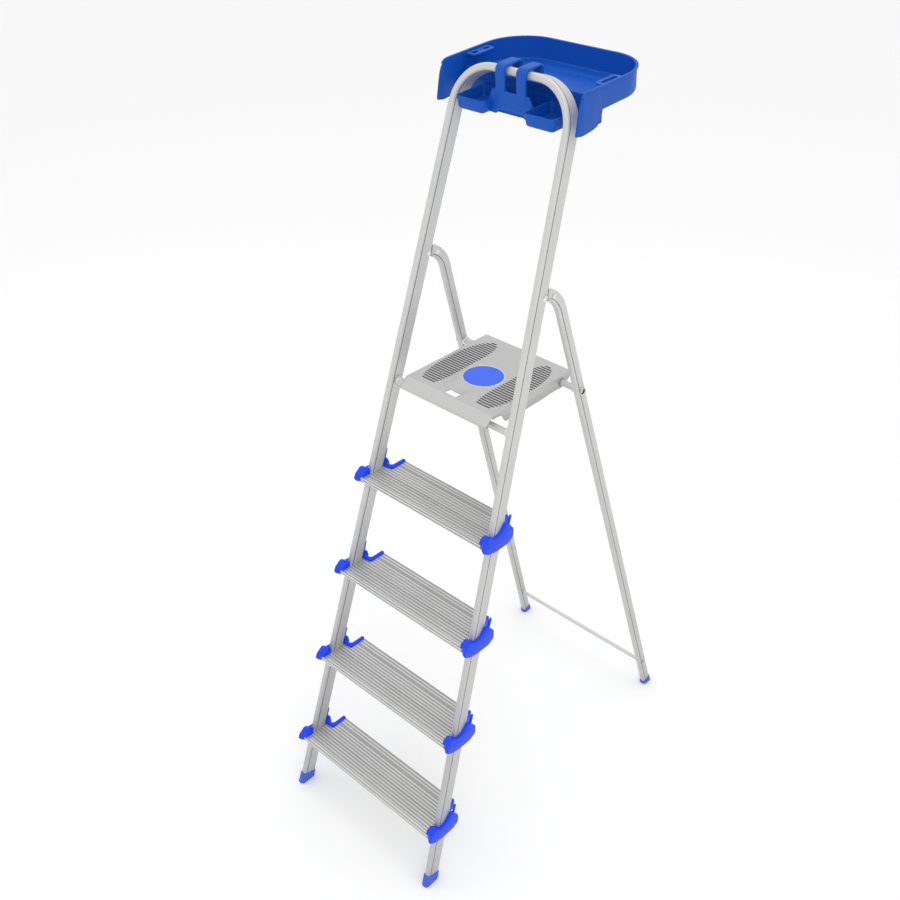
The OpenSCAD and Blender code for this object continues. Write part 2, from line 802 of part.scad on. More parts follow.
tray();
tool_holder_left();
tool_holder_right();
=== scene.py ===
"""Looks of a folding step ladder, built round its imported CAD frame."""
import math

import bmesh
import bpy
from bpy.props import FloatProperty, FloatVectorProperty, IntProperty, PointerProperty
from bpy.types import Operator, Panel, PropertyGroup
from mathutils import Matrix, Vector


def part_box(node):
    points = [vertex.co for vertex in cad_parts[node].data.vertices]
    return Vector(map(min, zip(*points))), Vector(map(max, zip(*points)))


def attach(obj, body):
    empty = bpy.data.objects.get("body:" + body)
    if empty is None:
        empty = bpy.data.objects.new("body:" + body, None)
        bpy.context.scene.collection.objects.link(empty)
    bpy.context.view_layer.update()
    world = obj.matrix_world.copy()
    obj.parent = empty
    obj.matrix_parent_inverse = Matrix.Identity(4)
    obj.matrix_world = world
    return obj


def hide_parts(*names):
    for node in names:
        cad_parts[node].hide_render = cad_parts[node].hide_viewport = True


bl_info = {
    "name": "Folding step ladder",
    "version": (1, 0, 0),
    "blender": (4, 5, 0),
    "location": "View3D > Sidebar > Ladder",
    "description": "Builds the visible pieces of a folding step ladder",
    "category": "Add Mesh",
}

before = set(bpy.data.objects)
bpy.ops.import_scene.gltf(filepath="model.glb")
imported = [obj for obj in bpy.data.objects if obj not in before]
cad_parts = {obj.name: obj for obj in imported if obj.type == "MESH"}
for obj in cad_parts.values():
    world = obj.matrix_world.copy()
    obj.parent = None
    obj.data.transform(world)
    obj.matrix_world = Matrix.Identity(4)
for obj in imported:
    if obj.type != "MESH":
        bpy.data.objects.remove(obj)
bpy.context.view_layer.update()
MM = 0.001
UP = Vector((0, 0, 1))
IDENTITY = Matrix.Identity(4)


def turn(degrees, axis):
    return Matrix.Rotation(math.radians(degrees), 4, axis)


def move(x=0.0, y=0.0, z=0.0):
    return Matrix.Translation((x, y, z))


def length(name, text, default):
    return FloatProperty(name=name, description=text, default=default * MM, unit="LENGTH")


def angle(name, text, degrees):
    return FloatProperty(
        name=name, description=text, default=math.radians(degrees), subtype="ANGLE"
    )


def colour(name, text, default):
    return FloatVectorProperty(
        name=name, description=text, default=default, size=3, subtype="COLOR", min=0, max=1
    )


class LadderSizes(PropertyGroup):
    """Sizes of the ladder's pieces"""

    foot_width: length("Foot width", "Distance between the stile centrelines", 451)
    front_y: length("Front line", "Place of the stile centreline on the floor", -448.725)
    lean: angle("Lean", "Angle that the front frame leans back", 16.1)
    stile_taper: angle("Stile taper", "Angle that a stile leans inwards", 2.65)
    stile_w: length("Stile width", "Width of the stile tube", 15)
    stile_d: length("Stile depth", "Depth of the stile tube", 37)
    stile_r: length("Stile corner", "Corner radius of the stile tube", 5)
    stile_wall: length("Stile wall", "Wall of the stile tube", 1.5)
    groove_y: length("Groove place", "Groove's place in front of the middle", 11.8)
    groove_w: length("Groove width", "Width of the groove along a tube", 2.0)
    groove_depth: length("Groove depth", "Depth of the groove along a tube", 1.2)
    bow_radius: length("Bow radius", "Radius of the bends at the top", 88)
    bow_height: length("Bow height", "Height of the top of the bow", 1774)
    rear_width: length("Rear width", "Distance between the rear legs' centrelines", 449)
    rear_y: length("Rear line", "Place of the rear legs on the floor", 454.275)
    rear_lean: angle("Rear lean", "Angle that the rear legs lean", 18.1)
    leg_taper: angle("Leg taper", "Angle that a rear leg leans inwards", 2.58)
    leg_w: length("Leg width", "Width of the rear leg tube", 15)
    leg_d: length("Leg depth", "Depth of the rear leg tube", 26)
    leg_wall: length("Leg wall", "Wall of the rear leg tube", 1.4)
    leg_bend_z: length("Bend height", "Height where a rear leg's bend starts", 1330)
    leg_bend_r: length("Bend radius", "Radius of a rear leg's bend", 80)
    leg_turn: angle("Leg turn", "Turn of a rear leg's bend", 46.9)
    fold_angle: angle("Fold angle", "Turn of the rear legs from open to folded", 32)
    pivot_y: length("Pivot place", "Place of the fold pivots", -40.578)
    pivot_z: length("Pivot height", "Height of the fold pivots", 1378)
    pivot_back: length("Pivot offset", "Pivot's distance behind the stile's middle", 10)
    first_tread: length("First tread", "Height of the first tread", 161)
    tread_rise: length("Tread rise", "Rise from tread to tread", 240.5)
    platform_z: length("Platform height", "Height of the platform", 1132)
    platform_w: length("Platform width", "Width of the platform", 248)
    platform_front: length("Platform front", "Front edge of the platform", -140.649)
    platform_back: length("Platform back", "Back edge of the platform", 121.836)
    sheet: length("Sheet", "Thickness of the platform's sheet", 2)
    disc_d: length("Disc", "Diameter of the round plug", 92)
    rib_count: IntProperty(
        name="Grip ribs", description="Number of grip ribs in one pad", default=27, min=4, max=50
    )
    tray_w: length("Tray width", "Width of the tray", 352)
    tray_rim_z: length("Tray rim", "Height of the tray's rim at the bow", 1762)
    tray_y: length("Tray place", "Place of the bow's centreline at the rim", 58.984)
    tray_tilt: angle("Tray tilt", "Slope of the tray", 4)
    tray_wall: length("Tray wall", "Wall of the tray", 2.8)


class LadderColours(PropertyGroup):
    """Colours of the ladder's finishes"""

    tube: colour("Tubes", "Satin aluminium tube", (0.63, 0.63, 0.62))
    tread: colour("Treads", "Ribbed aluminium", (0.74, 0.74, 0.73))
    sheet: colour("Platform", "Pressed sheet", (0.55, 0.545, 0.54))
    bracket: colour("Brackets", "Bright blue moulding", (0.010, 0.06, 0.80))
    foot: colour("Feet", "Blue moulding of the feet", (0.06, 0.12, 0.68))
    disc: colour("Disc", "Blue plug in the platform", (0.05, 0.145, 0.87))
    tray: colour("Tray", "Deep blue moulding", (0.002, 0.085, 0.46))


# ---------- finishes ----------


def finish(name, base, metallic, roughness, grain, stretch, lean, tone, relief):
    """One procedural finish: cloudy tone, stretched grain, and relief from both"""
    material = bpy.data.materials.new(name)
    material.use_nodes = True
    material.diffuse_color = (*base, 1)
    nodes, links = material.node_tree.nodes, material.node_tree.links
    shader = nodes["Principled BSDF"]
    shader.inputs["Metallic"].default_value = metallic
    shader.inputs["Specular IOR Level"].default_value = 0.4 if metallic else 0.25
    place = nodes.new("ShaderNodeMapping")
    place.inputs["Rotation"].default_value = (lean, 0, 0)
    place.inputs["Scale"].default_value = stretch
    coordinates = nodes.new("ShaderNodeTexCoord")
    links.new(coordinates.outputs["Object"], place.inputs["Vector"])
    fine = nodes.new("ShaderNodeTexNoise")
    fine.inputs["Scale"].default_value = grain
    fine.inputs["Detail"].default_value = 3
    links.new(place.outputs["Vector"], fine.inputs["Vector"])
    cloud = nodes.new("ShaderNodeTexNoise")
    cloud.inputs["Scale"].default_value = 9
    cloud.inputs["Detail"].default_value = 4
    links.new(coordinates.outputs["Object"], cloud.inputs["Vector"])
    both = nodes.new("ShaderNodeMix")
    both.inputs["Factor"].default_value = 0.45
    links.new(fine.outputs["Fac"], both.inputs["A"])
    links.new(cloud.outputs["Fac"], both.inputs["B"])
    ramp = nodes.new("ShaderNodeValToRGB")
    ramp.color_ramp.elements[0].position = 0.3
    ramp.color_ramp.elements[1].position = 0.7
    ramp.color_ramp.elements[0].color = (*[c * (1 - tone) for c in base], 1)
    ramp.color_ramp.elements[1].color = (*[min(1, c * (1 + tone)) for c in base], 1)
    links.new(both.outputs["Result"], ramp.inputs["Fac"])
    links.new(ramp.outputs["Color"], shader.inputs["Base Color"])
    matt = nodes.new("ShaderNodeMapRange")
    matt.inputs["To Min"].default_value = roughness * 0.8
    matt.inputs["To Max"].default_value = roughness * 1.2
    links.new(both.outputs["Result"], matt.inputs["Value"])
    links.new(matt.outputs["Result"], shader.inputs["Roughness"])
    bump = nodes.new("ShaderNodeBump")
    bump.inputs["Strength"].default_value = relief
    bump.inputs["Distance"].default_value = 0.2 * MM
    links.new(fine.outputs["Fac"], bump.inputs["Height"])
    links.new(bump.outputs["Normal"], shader.inputs["Normal"])
    return material


def finish_named(name):
    """The finish of one material slot, made when it is first asked for"""
    title = f"{name}_finish"
    found = bpy.data.materials.get(title)
    if found:
        return found
    sizes, colours = bpy.context.scene.ladder_sizes, bpy.context.scene.ladder_colours
    along_stile, along_leg = (1, 1, 0.012), (1, 1, 0.012)
    recipes = {
        "tube_aluminium": (colours.tube, 0.3, 0.6, 900, along_stile, sizes.lean, 0.06, 0.10),
        "leg_aluminium": (colours.tube, 0.3, 0.6, 900, along_leg, -sizes.rear_lean, 0.06, 0.10),
        "ribbed_aluminium": (colours.tread, 0.6, 0.42, 900, (0.012, 1, 1), 0, 0.07, 0.12),
        # painted shade: a darker grey for the faces inside the tread grooves
        "tread_grooves": ((0.40, 0.40, 0.40), 0.4, 0.55, 900, (0.012, 1, 1), 0, 0.1, 0.1),
        "platform_sheet": (colours.sheet, 0.45, 0.46, 1500, (0.2, 1, 1), 0, 0.04, 0.12),
        "rivets": ((0.78, 0.78, 0.78), 0.9, 0.28, 700, (1, 1, 1), 0, 0.05, 0.05),
        "hinge_casting": ((0.62, 0.62, 0.61), 0.7, 0.5, 1200, (1, 1, 1), 0, 0.08, 0.35),
        "bracket_plastic": (colours.bracket, 0, 0.40, 1300, (1, 1, 1), 0, 0.05, 0.08),
        "foot_plastic": (colours.foot, 0, 0.5, 1300, (1, 1, 1), 0, 0.06, 0.25),
        "disc_plastic": (colours.disc, 0, 0.40, 1300, (1, 1, 1), 0, 0.03, 0.05),
        "bush_plastic": ((0.30, 0.30, 0.30), 0, 0.5, 1300, (1, 1, 1), 0, 0.1, 0.2),
        "tray_plastic": (colours.tray, 0, 0.45, 1500, (1, 1, 1), 0, 0.04, 0.12),
        "bore_shade": ((0.004, 0.004, 0.004), 0, 0.9, 900, (1, 1, 1), 0, 0.1, 0.1),
        "groove_shade": ((0.17, 0.17, 0.17), 0.5, 0.5, 900, (1, 1, 1), 0, 0.1, 0.1),
        "grip_rubber": ((0.06, 0.06, 0.065), 0, 0.7, 1500, (1, 1, 1), 0, 0.15, 0.4),
    }
    base, *rest = recipes[name]
    return finish(title, tuple(base), *rest)


# ---------- making meshes ----------


def add_mesh(name, bm, body, slot, replaced=(), look=None, smooth=35):
    """A finished piece from a bmesh: smooth by angle, on its body, with its finish"""
    mesh = bpy.data.meshes.new(name)
    bm.to_mesh(mesh)
    bm.free()
    mesh.shade_smooth()
    mesh.set_sharp_from_angle(angle=math.radians(smooth))
    piece = bpy.data.objects.new(name, mesh)
    bpy.context.scene.collection.objects.link(piece)
    mesh.materials.append(finish_named(look or slot))
    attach(piece, body)
    if replaced:
        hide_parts(*replaced)
    return piece


def add_wall(piece, thickness, offset=-1.0):
    """Gives an open shell its wall, inwards from the faces"""
    wall = piece.modifiers.new("wall", "SOLIDIFY")
    wall.thickness = thickness
    wall.offset = offset
    wall.use_even_offset = True
    return piece


def add_edges(piece, width, segments=2, limit=40):
    """Rounds a piece's sharp edges"""
    rounding = piece.modifiers.new("rounding", "BEVEL")
    rounding.width = width
    rounding.segments = segments
    rounding.limit_method = "ANGLE"
    rounding.angle_limit = math.radians(limit)
    rounding.harden_normals = False
    return piece


def bevel(bm, geom, offset, segments, affect="EDGES"):
    return bmesh.ops.bevel(
        bm,
        geom=geom,
        offset=offset,
        segments=segments,
        profile=0.5,
        affect=affect,
        material=-1,
        clamp_overlap=True,
    )


def outward(bm):
    bmesh.ops.remove_doubles(bm, verts=bm.verts, dist=1e-6)
    bmesh.ops.recalc_face_normals(bm, faces=bm.faces)


def take_in(bm, other):
    """Adds the geometry of another bmesh"""
    mesh = bpy.data.meshes.new("part")
    other.to_mesh(mesh)
    other.free()
    bm.from_mesh(mesh)
    bpy.data.meshes.remove(mesh)


def rounded(points):
    """Points of a closed outline from corners given as (x, y, corner radius)"""
    out = []
    for i, (x, y, r) in enumerate(points):
        here = Vector((x, y))
        if r <= 0:
            out.append(here)
            continue
        before = (Vector(points[i - 1][:2]) - here).normalized()
        after = (Vector(points[(i + 1) % len(points)][:2]) - here).normalized()
        half = before.angle(after) / 2
        reach = r / math.tan(half)
        centre = here + (before + after).normalized() * r / math.sin(half)
        start, end = here + before * reach, here + after * reach
        if abs(half - math.pi / 2) < 0.02:
            out.append(here)
            continue
        steps = max(2, int(math.degrees(math.pi - 2 * half) / 12) + 1)
        for k in range(steps + 1):
            t = k / steps
            a, b = start - centre, end - centre
            full = a.angle(b)
            point = (a * math.sin((1 - t) * full) + b * math.sin(t * full)) / math.sin(full)
            out.append(centre + point)
    return out


def plate(outlines, thickness, edge, place):
    """A flat plate with rounded edges; the first outline is its rim, the others are holes.
    It lies in the XY plane from Z = 0 to its thickness before place moves it."""
    curve = bpy.data.curves.new("plate", "CURVE")
    curve.dimensions = "2D"
    curve.fill_mode = "BOTH"
    curve.extrude = thickness / 2 - edge
    curve.bevel_depth = edge
    curve.bevel_resolution = 2
    curve.offset = -edge
    for outline in outlines:
        points = [Vector(p[:2]) for p in outline]
        spline = curve.splines.new("POLY")
        spline.points.add(len(points) - 1)
        spline.use_cyclic_u = True
        for target, point in zip(spline.points, points):
            target.co = (point.x, point.y, 0, 1)
    holder = bpy.data.objects.new("plate", curve)
    mesh = bpy.data.meshes.new_from_object(holder)
    bm = bmesh.new()
    bm.from_mesh(mesh)
    bpy.data.objects.remove(holder)
    bpy.data.curves.remove(curve)
    bpy.data.meshes.remove(mesh)
    bmesh.ops.remove_doubles(bm, verts=bm.verts, dist=2e-6)
    bmesh.ops.dissolve_degenerate(bm, edges=bm.edges, dist=1e-7)
    bmesh.ops.recalc_face_normals(bm, faces=bm.faces)
    bmesh.ops.transform(bm, matrix=place @ move(0, 0, thickness / 2), verts=bm.verts)
    if place.determinant() < 0:
        bmesh.ops.reverse_faces(bm, faces=bm.faces)
    return bm


def lathe(profile, centre, axis, steps=40, closed=True):
    """A turned part: profile points are (distance along the axis, radius)"""
    bm = bmesh.new()
    side = UP if axis == "X" else Vector((1, 0, 0))
    along = Vector((1, 0, 0)) if axis == "X" else UP
    verts = [bm.verts.new(along * a + side * r) for a, r in profile]
    edges = [bm.edges.new(pair) for pair in zip(verts, verts[1:])]
    if closed:
        edges.append(bm.edges.new((verts[-1], verts[0])))
    bmesh.ops.spin(
        bm,
        geom=verts + edges,
        cent=(0, 0, 0),
        axis=along,
        dvec=(0, 0, 0),
        angle=2 * math.pi,
        steps=steps,
        use_merge=True,
    )
    outward(bm)
    bmesh.ops.translate(bm, vec=centre, verts=bm.verts)
    return bm


def mirrored(bm):
    """The same shape on the left, as a new bmesh"""
    other = bm.copy()
    bmesh.ops.scale(other, vec=(-1, 1, 1), verts=other.verts)
    bmesh.ops.reverse_faces(other, faces=other.faces)
    return other


def tube_section(bm, width, depth, radius, groove_y, groove_w, groove_depth):
    """Edges of a tube's section in the XY plane, with a groove on each wide side"""
    w, d = width / 2, depth / 2
    y, g = -groove_y, groove_w / 2
    side = [(w, y - g), (w - groove_depth, y - g * 0.5), (w - groove_depth, y + g * 0.5)]
    side.append((w, y + g))
    right = rounded([(w, -d, radius)] + [(a, b, 0) for a, b in side] + [(w, d, radius)]
                    + [(-a, b, 0) for a, b in reversed(side)][0:0] + [(-w, d, radius)]
                    + [(-a, b, 0) for a, b in reversed(side)] + [(-w, -d, radius)])
    verts = [bm.verts.new((p.x, p.y, 0)) for p in right]
    return [bm.edges.new((verts[i - 1], verts[i])) for i in range(len(verts))]


def run_on(bm, edges, step):
    """Extrudes a ring of edges straight on, and returns the new ring"""
    made = bmesh.ops.extrude_edge_only(bm, edges=edges)["geom"]
    verts = [g for g in made if isinstance(g, bmesh.types.BMVert)]
    bmesh.ops.translate(bm, vec=step, verts=verts)
    return [g for g in made if isinstance(g, bmesh.types.BMEdge)]


def bend_on(bm, edges, centre, axis, turned, steps):
    """Turns a ring of edges on round a bend, and returns the new ring"""
    verts = list({v for e in edges for v in e.verts})
    last = bmesh.ops.spin(
        bm,
        geom=verts + edges,
        cent=centre,
        axis=axis,
        dvec=(0, 0, 0),
        angle=turned,
        steps=steps,
        use_merge=False,
    )["geom_last"]
    return [g for g in last if isinstance(g, bmesh.types.BMEdge)]


def shade_groove(bm, s, width, groove_y, across, along):
    """Gives the faces inside the grooves the second finish, a darker grey that paints the shade in
    the grooves
    """
    for face in bm.faces:
        c = face.calc_center_median()
        deep = width / 2 - abs(across(c))
        if 0.2 * MM < deep < 2 * MM and abs(along(c) + groove_y) < s.groove_w * 0.52:
            face.material_index = 1


# ---------- places ----------


def frame_place(s):
    """From the plane of the front frame (X across, Y back, Z up the stiles) to the ladder"""
    return move(0, s.front_y) @ Matrix.Rotation(-s.lean, 4, "X")


def leg_place(s):
    """From the right rear leg's centreline to the ladder"""
    rear = move(s.rear_width / 2, s.rear_y) @ Matrix.Rotation(s.rear_lean, 4, "X")
    return rear @ Matrix.Rotation(-s.leg_taper, 4, "Y")


def tread_height(s, n):
    return s.first_tread + (n - 1) * s.tread_rise


def stile_at(s, z):
    """Right stile's centreline at a height"""
    x = s.foot_width / 2 - z / math.cos(s.lean) * math.tan(s.stile_taper)
    return Vector((x, s.front_y + z * math.tan(s.lean), z))


def tray_place(s):
    """From the tray (Y = 0 at the bow, Z = 0 at the rim) to the ladder"""
    return move(0, s.tray_y, s.tray_rim_z) @ Matrix.Rotation(s.tray_tilt, 4, "X")


# ---------- pieces ----------


class LADDER_OT_front_frame(Operator):
    """The bent front tube: two stiles and the bow, with grooves and hinge slots"""

    bl_idname = "ladder.front_frame"
    bl_label = "Front frame"

    def execute(self, context):
        s = context.scene.ladder_sizes
        bm = bmesh.new()
        ring = tube_section(
            bm, s.stile_w, s.stile_d, s.stile_r, s.groove_y, s.groove_w, s.groove_depth
        )
        taper = s.stile_taper
        stile = move(s.foot_width / 2) @ Matrix.Rotation(-taper, 4, "Y")
        bow_s = (s.bow_height - s.stile_d / 2 * math.sin(s.lean)) / math.cos(s.lean)
        bow_s -= s.stile_w / 2
        bend_s = bow_s - s.bow_radius
        bend_x = s.foot_width / 2 - (s.bow_radius + bend_s * math.sin(taper)) / math.cos(taper)
        length = (bend_s + s.bow_radius * math.sin(taper)) / math.cos(taper)
        start = 12 * MM
        bmesh.ops.transform(bm, matrix=stile @ move(0, 0, start), verts=bm.verts)
        ring = run_on(bm, ring, stile.to_3x3() @ UP * (length - start))
        ring = bend_on(
            bm, ring, (bend_x, 0, bend_s), (0, -1, 0), math.radians(90) - taper, 20
        )
        run_on(bm, ring, (-bend_x, 0, 0))
        back = stile.inverted()

        def across(c):
            if c.z < bend_s:
                return (back @ c).x
            if c.x < bend_x:
                return c.z - bow_s
            return math.hypot(c.x - bend_x, c.z - bend_s) - s.bow_radius

        shade_groove(bm, s, s.stile_w, s.groove_y, across, lambda c: c.y)
        self.cut_slot(bm, s)
        bmesh.ops.mirror(
            bm, geom=bm.verts[:] + bm.edges[:] + bm.faces[:], matrix=IDENTITY,
            merge_dist=1e-5, axis="X",
        )
        outward(bm)
        bmesh.ops.transform(bm, matrix=frame_place(s), verts=bm.verts)
        tube = add_mesh("front_tube", bm, "front", "tube_aluminium", ["front_frame"])
        tube.data.materials.append(finish_named("groove_shade"))
        add_wall(tube, s.stile_wall)
        return {"FINISHED"}

    def cut_slot(self, bm, s):
        """Opens the back wall where the hinge plug turns"""
        pivot = frame_place(s).inverted() @ Vector((0, s.pivot_y, s.pivot_z))
        x = stile_at(s, s.pivot_z).x
        reach = 11 * MM + (s.stile_d / 2 - s.pivot_back) * math.tan(s.fold_angle / 2) + 6 * MM
        for level in (pivot.z - reach, pivot.z + reach):
            bmesh.ops.bisect_plane(
                bm, geom=bm.verts[:] + bm.edges[:] + bm.faces[:], dist=1e-6,
                plane_co=(0, 0, level), plane_no=(0, 0, 1),
            )
        near = [
            f for f in bm.faces
            if abs(f.calc_center_median().z - pivot.z) < reach
            and f.calc_center_median().y > 12 * MM
        ]
        half = 5.25 * MM
        for side in (x - half, x + half):
            geom = near + list({e for f in near for e in f.edges})
            geom += list({v for f in near for v in f.verts})
            cut = bmesh.ops.bisect_plane(
                bm, geom=geom, dist=1e-6, plane_co=(side, 0, 0), plane_no=(1, 0, 0)
            )
            near = [g for g in cut["geom"] if isinstance(g, bmesh.types.BMFace)]
        inside = [f for f in near if abs(f.calc_center_median().x - x) < half]
        bmesh.ops.delete(bm, geom=inside, context="FACES")


class LADDER_OT_rear_legs(Operator):
    """The two rear legs: bent tubes, cut off at the top beside the stiles"""

    bl_idname = "ladder.rear_legs"
    bl_label = "Rear legs"

    def execute(self, context):
        s = context.scene.ladder_sizes
        bm = bmesh.new()
        groove_y = 6.2 * MM
        ring = tube_section(
            bm, s.leg_w, s.leg_d, s.stile_r, groove_y, s.groove_w * 0.8, s.groove_depth
        )
        start = 9 * MM
        bend = s.leg_bend_z / math.cos(s.rear_lean) / math.cos(s.leg_taper)
        bmesh.ops.translate(bm, vec=(0, 0, start), verts=bm.verts)
        ring = run_on(bm, ring, (0, 0, bend - start))
        ring = bend_on(bm, ring, (0, -s.leg_bend_r, bend), (1, 0, 0), s.leg_turn, 16)
        run_on(bm, ring, Matrix.Rotation(s.leg_turn, 3, "X") @ UP * 40 * MM)

        def along(c):
            if c.z < bend:
                return c.y
            return math.hypot(c.y + s.leg_bend_r, c.z - bend) - s.leg_bend_r

        shade_groove(bm, s, s.leg_w, groove_y, lambda c: c.x, along)
        bmesh.ops.transform(bm, matrix=leg_place(s), verts=bm.verts)
        gap = s.stile_d / 2 - s.pivot_back + 1 * MM
        for fold in (0, s.fold_angle):
            turned = Matrix.Rotation(fold - s.lean, 3, "X")
            bmesh.ops.bisect_plane(
                bm, geom=bm.verts[:] + bm.edges[:] + bm.faces[:], dist=1e-6,
                plane_co=Vector((0, s.pivot_y, s.pivot_z)) + turned @ Vector((0, gap, 0)),
                plane_no=turned @ Vector((0, 1, 0)), clear_inner=True,
            )
        outward(bm)
        left = mirrored(bm)
        for side, shape in (("right", bm), ("left", left)):
            leg = add_mesh(
                f"leg_tube_{side}", shape, "rear", "tube_aluminium", [f"rear_leg_{side}"],
                "leg_aluminium",
            )
            leg.data.materials.append(finish_named("groove_shade"))
            add_wall(leg, s.leg_wall)
        return {"FINISHED"}


class LADDER_OT_treads(Operator):
    """Ribbed treads: extrusions with fine ribs on the top and a round nose at the front"""

    bl_idname = "ladder.treads"
    bl_label = "Treads"

    def execute(self, context):
        s = context.scene.ladder_sizes
        for n in range(1, 5):
            at = stile_at(s, tread_height(s, n))
            bm, half = bmesh.new(), at.x - 0.3 * MM
            verts = [bm.verts.new((-half, p.x, p.y)) for p in self.section()]
            bmesh.ops.contextual_create(bm, geom=verts)
            made = bmesh.ops.extrude_face_region(bm, geom=bm.faces[:])["geom"]
            ends = [g for g in made if isinstance(g, bmesh.types.BMVert)]
            bmesh.ops.translate(bm, vec=(2 * half, 0, 0), verts=ends)
            outward(bm)
            # Faces inside the top grooves get the second finish, a darker grey that paints the
            # shade in the grooves.
            for face in bm.faces:
                c = face.calc_center_median()
                gets_groove_shade = -42 * MM < c.y < 69 * MM and -1.2 * MM < c.z < -0.2 * MM
                if abs(face.normal.x) < 0.5 and gets_groove_shade:
                    face.material_index = 1
            self.notch(bm, half - 29.7 * MM, 25 * MM)
            bmesh.ops.translate(bm, vec=(0, at.y, at.z), verts=bm.verts)
            tread = add_mesh(
                f"tread_ribbed_{n}", bm, "front", "ribbed_aluminium", [f"tread_{n}"]
            )
            tread.data.materials.append(finish_named("tread_grooves"))
        return {"FINISHED"}

    def section(self):
        """Outline in the YZ plane: back wall, ribbed top, round nose and front flange"""
        points, pitch, cut, deep = [(72, -25), (72, -1), (71, 0)], 5.5, 1.3, 0.7
        for k in range(20):
            y = 66.5 - k * pitch
            points += [(y + cut, 0), (y + cut * 0.7, -deep), (y - cut * 0.7, -deep), (y - cut, 0)]
        for k in range(7):
            turned = math.radians(15 * k)
            points.append((-41 - 5.5 * math.sin(turned), -5.5 + 5.5 * math.cos(turned)))
        points += [(-46.5, -8), (-45.5, -9), (-44, -9), (-43.4, -8), (-43.4, -5), (-41, -2.8)]
        points += [(-28, -2.8), (-28, -22), (-26, -22), (-26, -2.8)]
        points += [(69.4, -2.8), (69.4, -23), (66, -23), (66, -25)]
        return [Vector((a * MM, b * MM)) for a, b in points]

    def notch(self, bm, x, y):
        """Leaves out the corners behind the stiles"""
        for side in (-1, 1):
            for place, facing in (((side * x, 0, 0), (1, 0, 0)), ((0, y, 0), (0, 1, 0))):
                bmesh.ops.bisect_plane(
                    bm, geom=bm.verts[:] + bm.edges[:] + bm.faces[:], dist=1e-7,
                    plane_co=place, plane_no=facing,
                )
            gone = [
                f for f in bm.faces
                if f.calc_center_median().x * side > x + 1e-6 and f.calc_center_median().y > y
            ]
            bmesh.ops.delete(bm, geom=gone, context="FACES")
            corner = [
                v for v in bm.verts
                if abs(v.co.x - side * x) < 1e-6 and abs(v.co.y - y) < 1e-6
                and any(e.is_boundary for e in v.link_edges)
            ]
            open_edges = [e for e in bm.edges if e.is_boundary]
            if len(corner) == 2:
                open_edges.append(bm.edges.new(corner))
            bmesh.ops.edgenet_fill(bm, edges=open_edges)
        outward(bm)


class LADDER_OT_fixings(Operator):
    """Small fixings, which keep their shape and get their finish"""

    bl_idname = "ladder.fixings"
    bl_label = "Fixings"

    def execute(self, context):
        looks = {
            "bracket_rivets": "rivets",
            "hinge_plug_rivets": "rivets",
            "hinge_plug_left": "hinge_casting",
            "hinge_plug_right": "hinge_casting",
            "platform_bushes": "bush_plastic",
        }
        for name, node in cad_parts.items():
            look = next((v for k, v in looks.items() if name.startswith(k)), None)
            if name.startswith("hinge_plug_rivets"):
                look = "rivets"
            if look:
                node.data.materials.clear()
                node.data.materials.append(finish_named(look))
        return {"FINISHED"}


class LADDER_OT_brackets(Operator):
    """The mouldings that hold each tread's end: cap, hook rim and fin"""

    bl_idname = "ladder.brackets"
    bl_label = "Tread brackets"

    def execute(self, context):
        s = context.scene.ladder_sizes
        for n in range(1, 5):
            right = self.bracket(s, n)
            left = mirrored(right)
            for side, shape in (("right", right), ("left", left)):
                add_mesh(
                    f"bracket_{side}_cap_{n}", shape, "front", "bracket_plastic",
                    [f"bracket_{side}_{n}"],
                )
        return {"FINISHED"}

    def bracket(self, s, n):
        at = stile_at(s, tread_height(s, n))
        sideways = move(at.x, at.y, at.z) @ turn(90, "Z") @ turn(90, "X")
        cap = [
            (-54, -5, 5), (-49, 6, 6), (-33, 18, 4), (-26, 17, 3), (-21, 11, 8),
            (-10, 7.6, 30), (4, 9.5, 20), (14, 19, 3), (21, 27, 3.2), (30, 24, 4), (46, 4, 7),
            (46, -18, 9), (28, -29, 8), (-10, -29, 22), (-34, -24, 12), (-49, -14, 6),
        ]
        cap = [(a * MM, b * MM, c * MM) for a, b, c in cap]
        bm = plate([rounded(cap)], 15.5 * MM, 2.6 * MM, sideways)
        for v in bm.verts:
            ahead = max(0, at.y - 30 * MM - v.co.y)
            inward = max(0, 1 - (v.co.x - at.x) / (12 * MM))
            v.co.y += ahead * 0.38 * inward
        lip = [(-45, 0.4, 2), (-40, 11, 4), (-28, 16, 2), (-20, 10, 2), (-20, 0.4, 1)]
        lip = [(a * MM, b * MM, c * MM) for a, b, c in lip]
        take_in(bm, plate([rounded(lip)], 8 * MM, 0.6 * MM, sideways @ move(0, 0, -5.5 * MM)))
        hook = [
            (8, 23.5, 2.2), (-30, 23.5, 13), (-30, 72, 3.5), (-21, 72, 3.5), (-21, 33.5, 8),
            (-8, 33.5, 2), (-6, 42, 3), (8, 42, 3),
        ]
        hook = [(a * MM, b * MM, c * MM) for a, b, c in hook]
        take_in(bm, plate([rounded(hook)], 30 * MM, 2 * MM, move(at.x, at.y, at.z - 25 * MM)))
        fin = [(31, 4, 1), (38, 4, 1), (46.5, 33, 1), (43.5, 38, 1), (40, 33, 1)]
        fin = [(a * MM, b * MM, c * MM) for a, b, c in fin]
        take_in(bm, plate([rounded(fin)], 3.4 * MM, 0.6 * MM, sideways @ move(0, 0, 4 * MM)))
        return bm


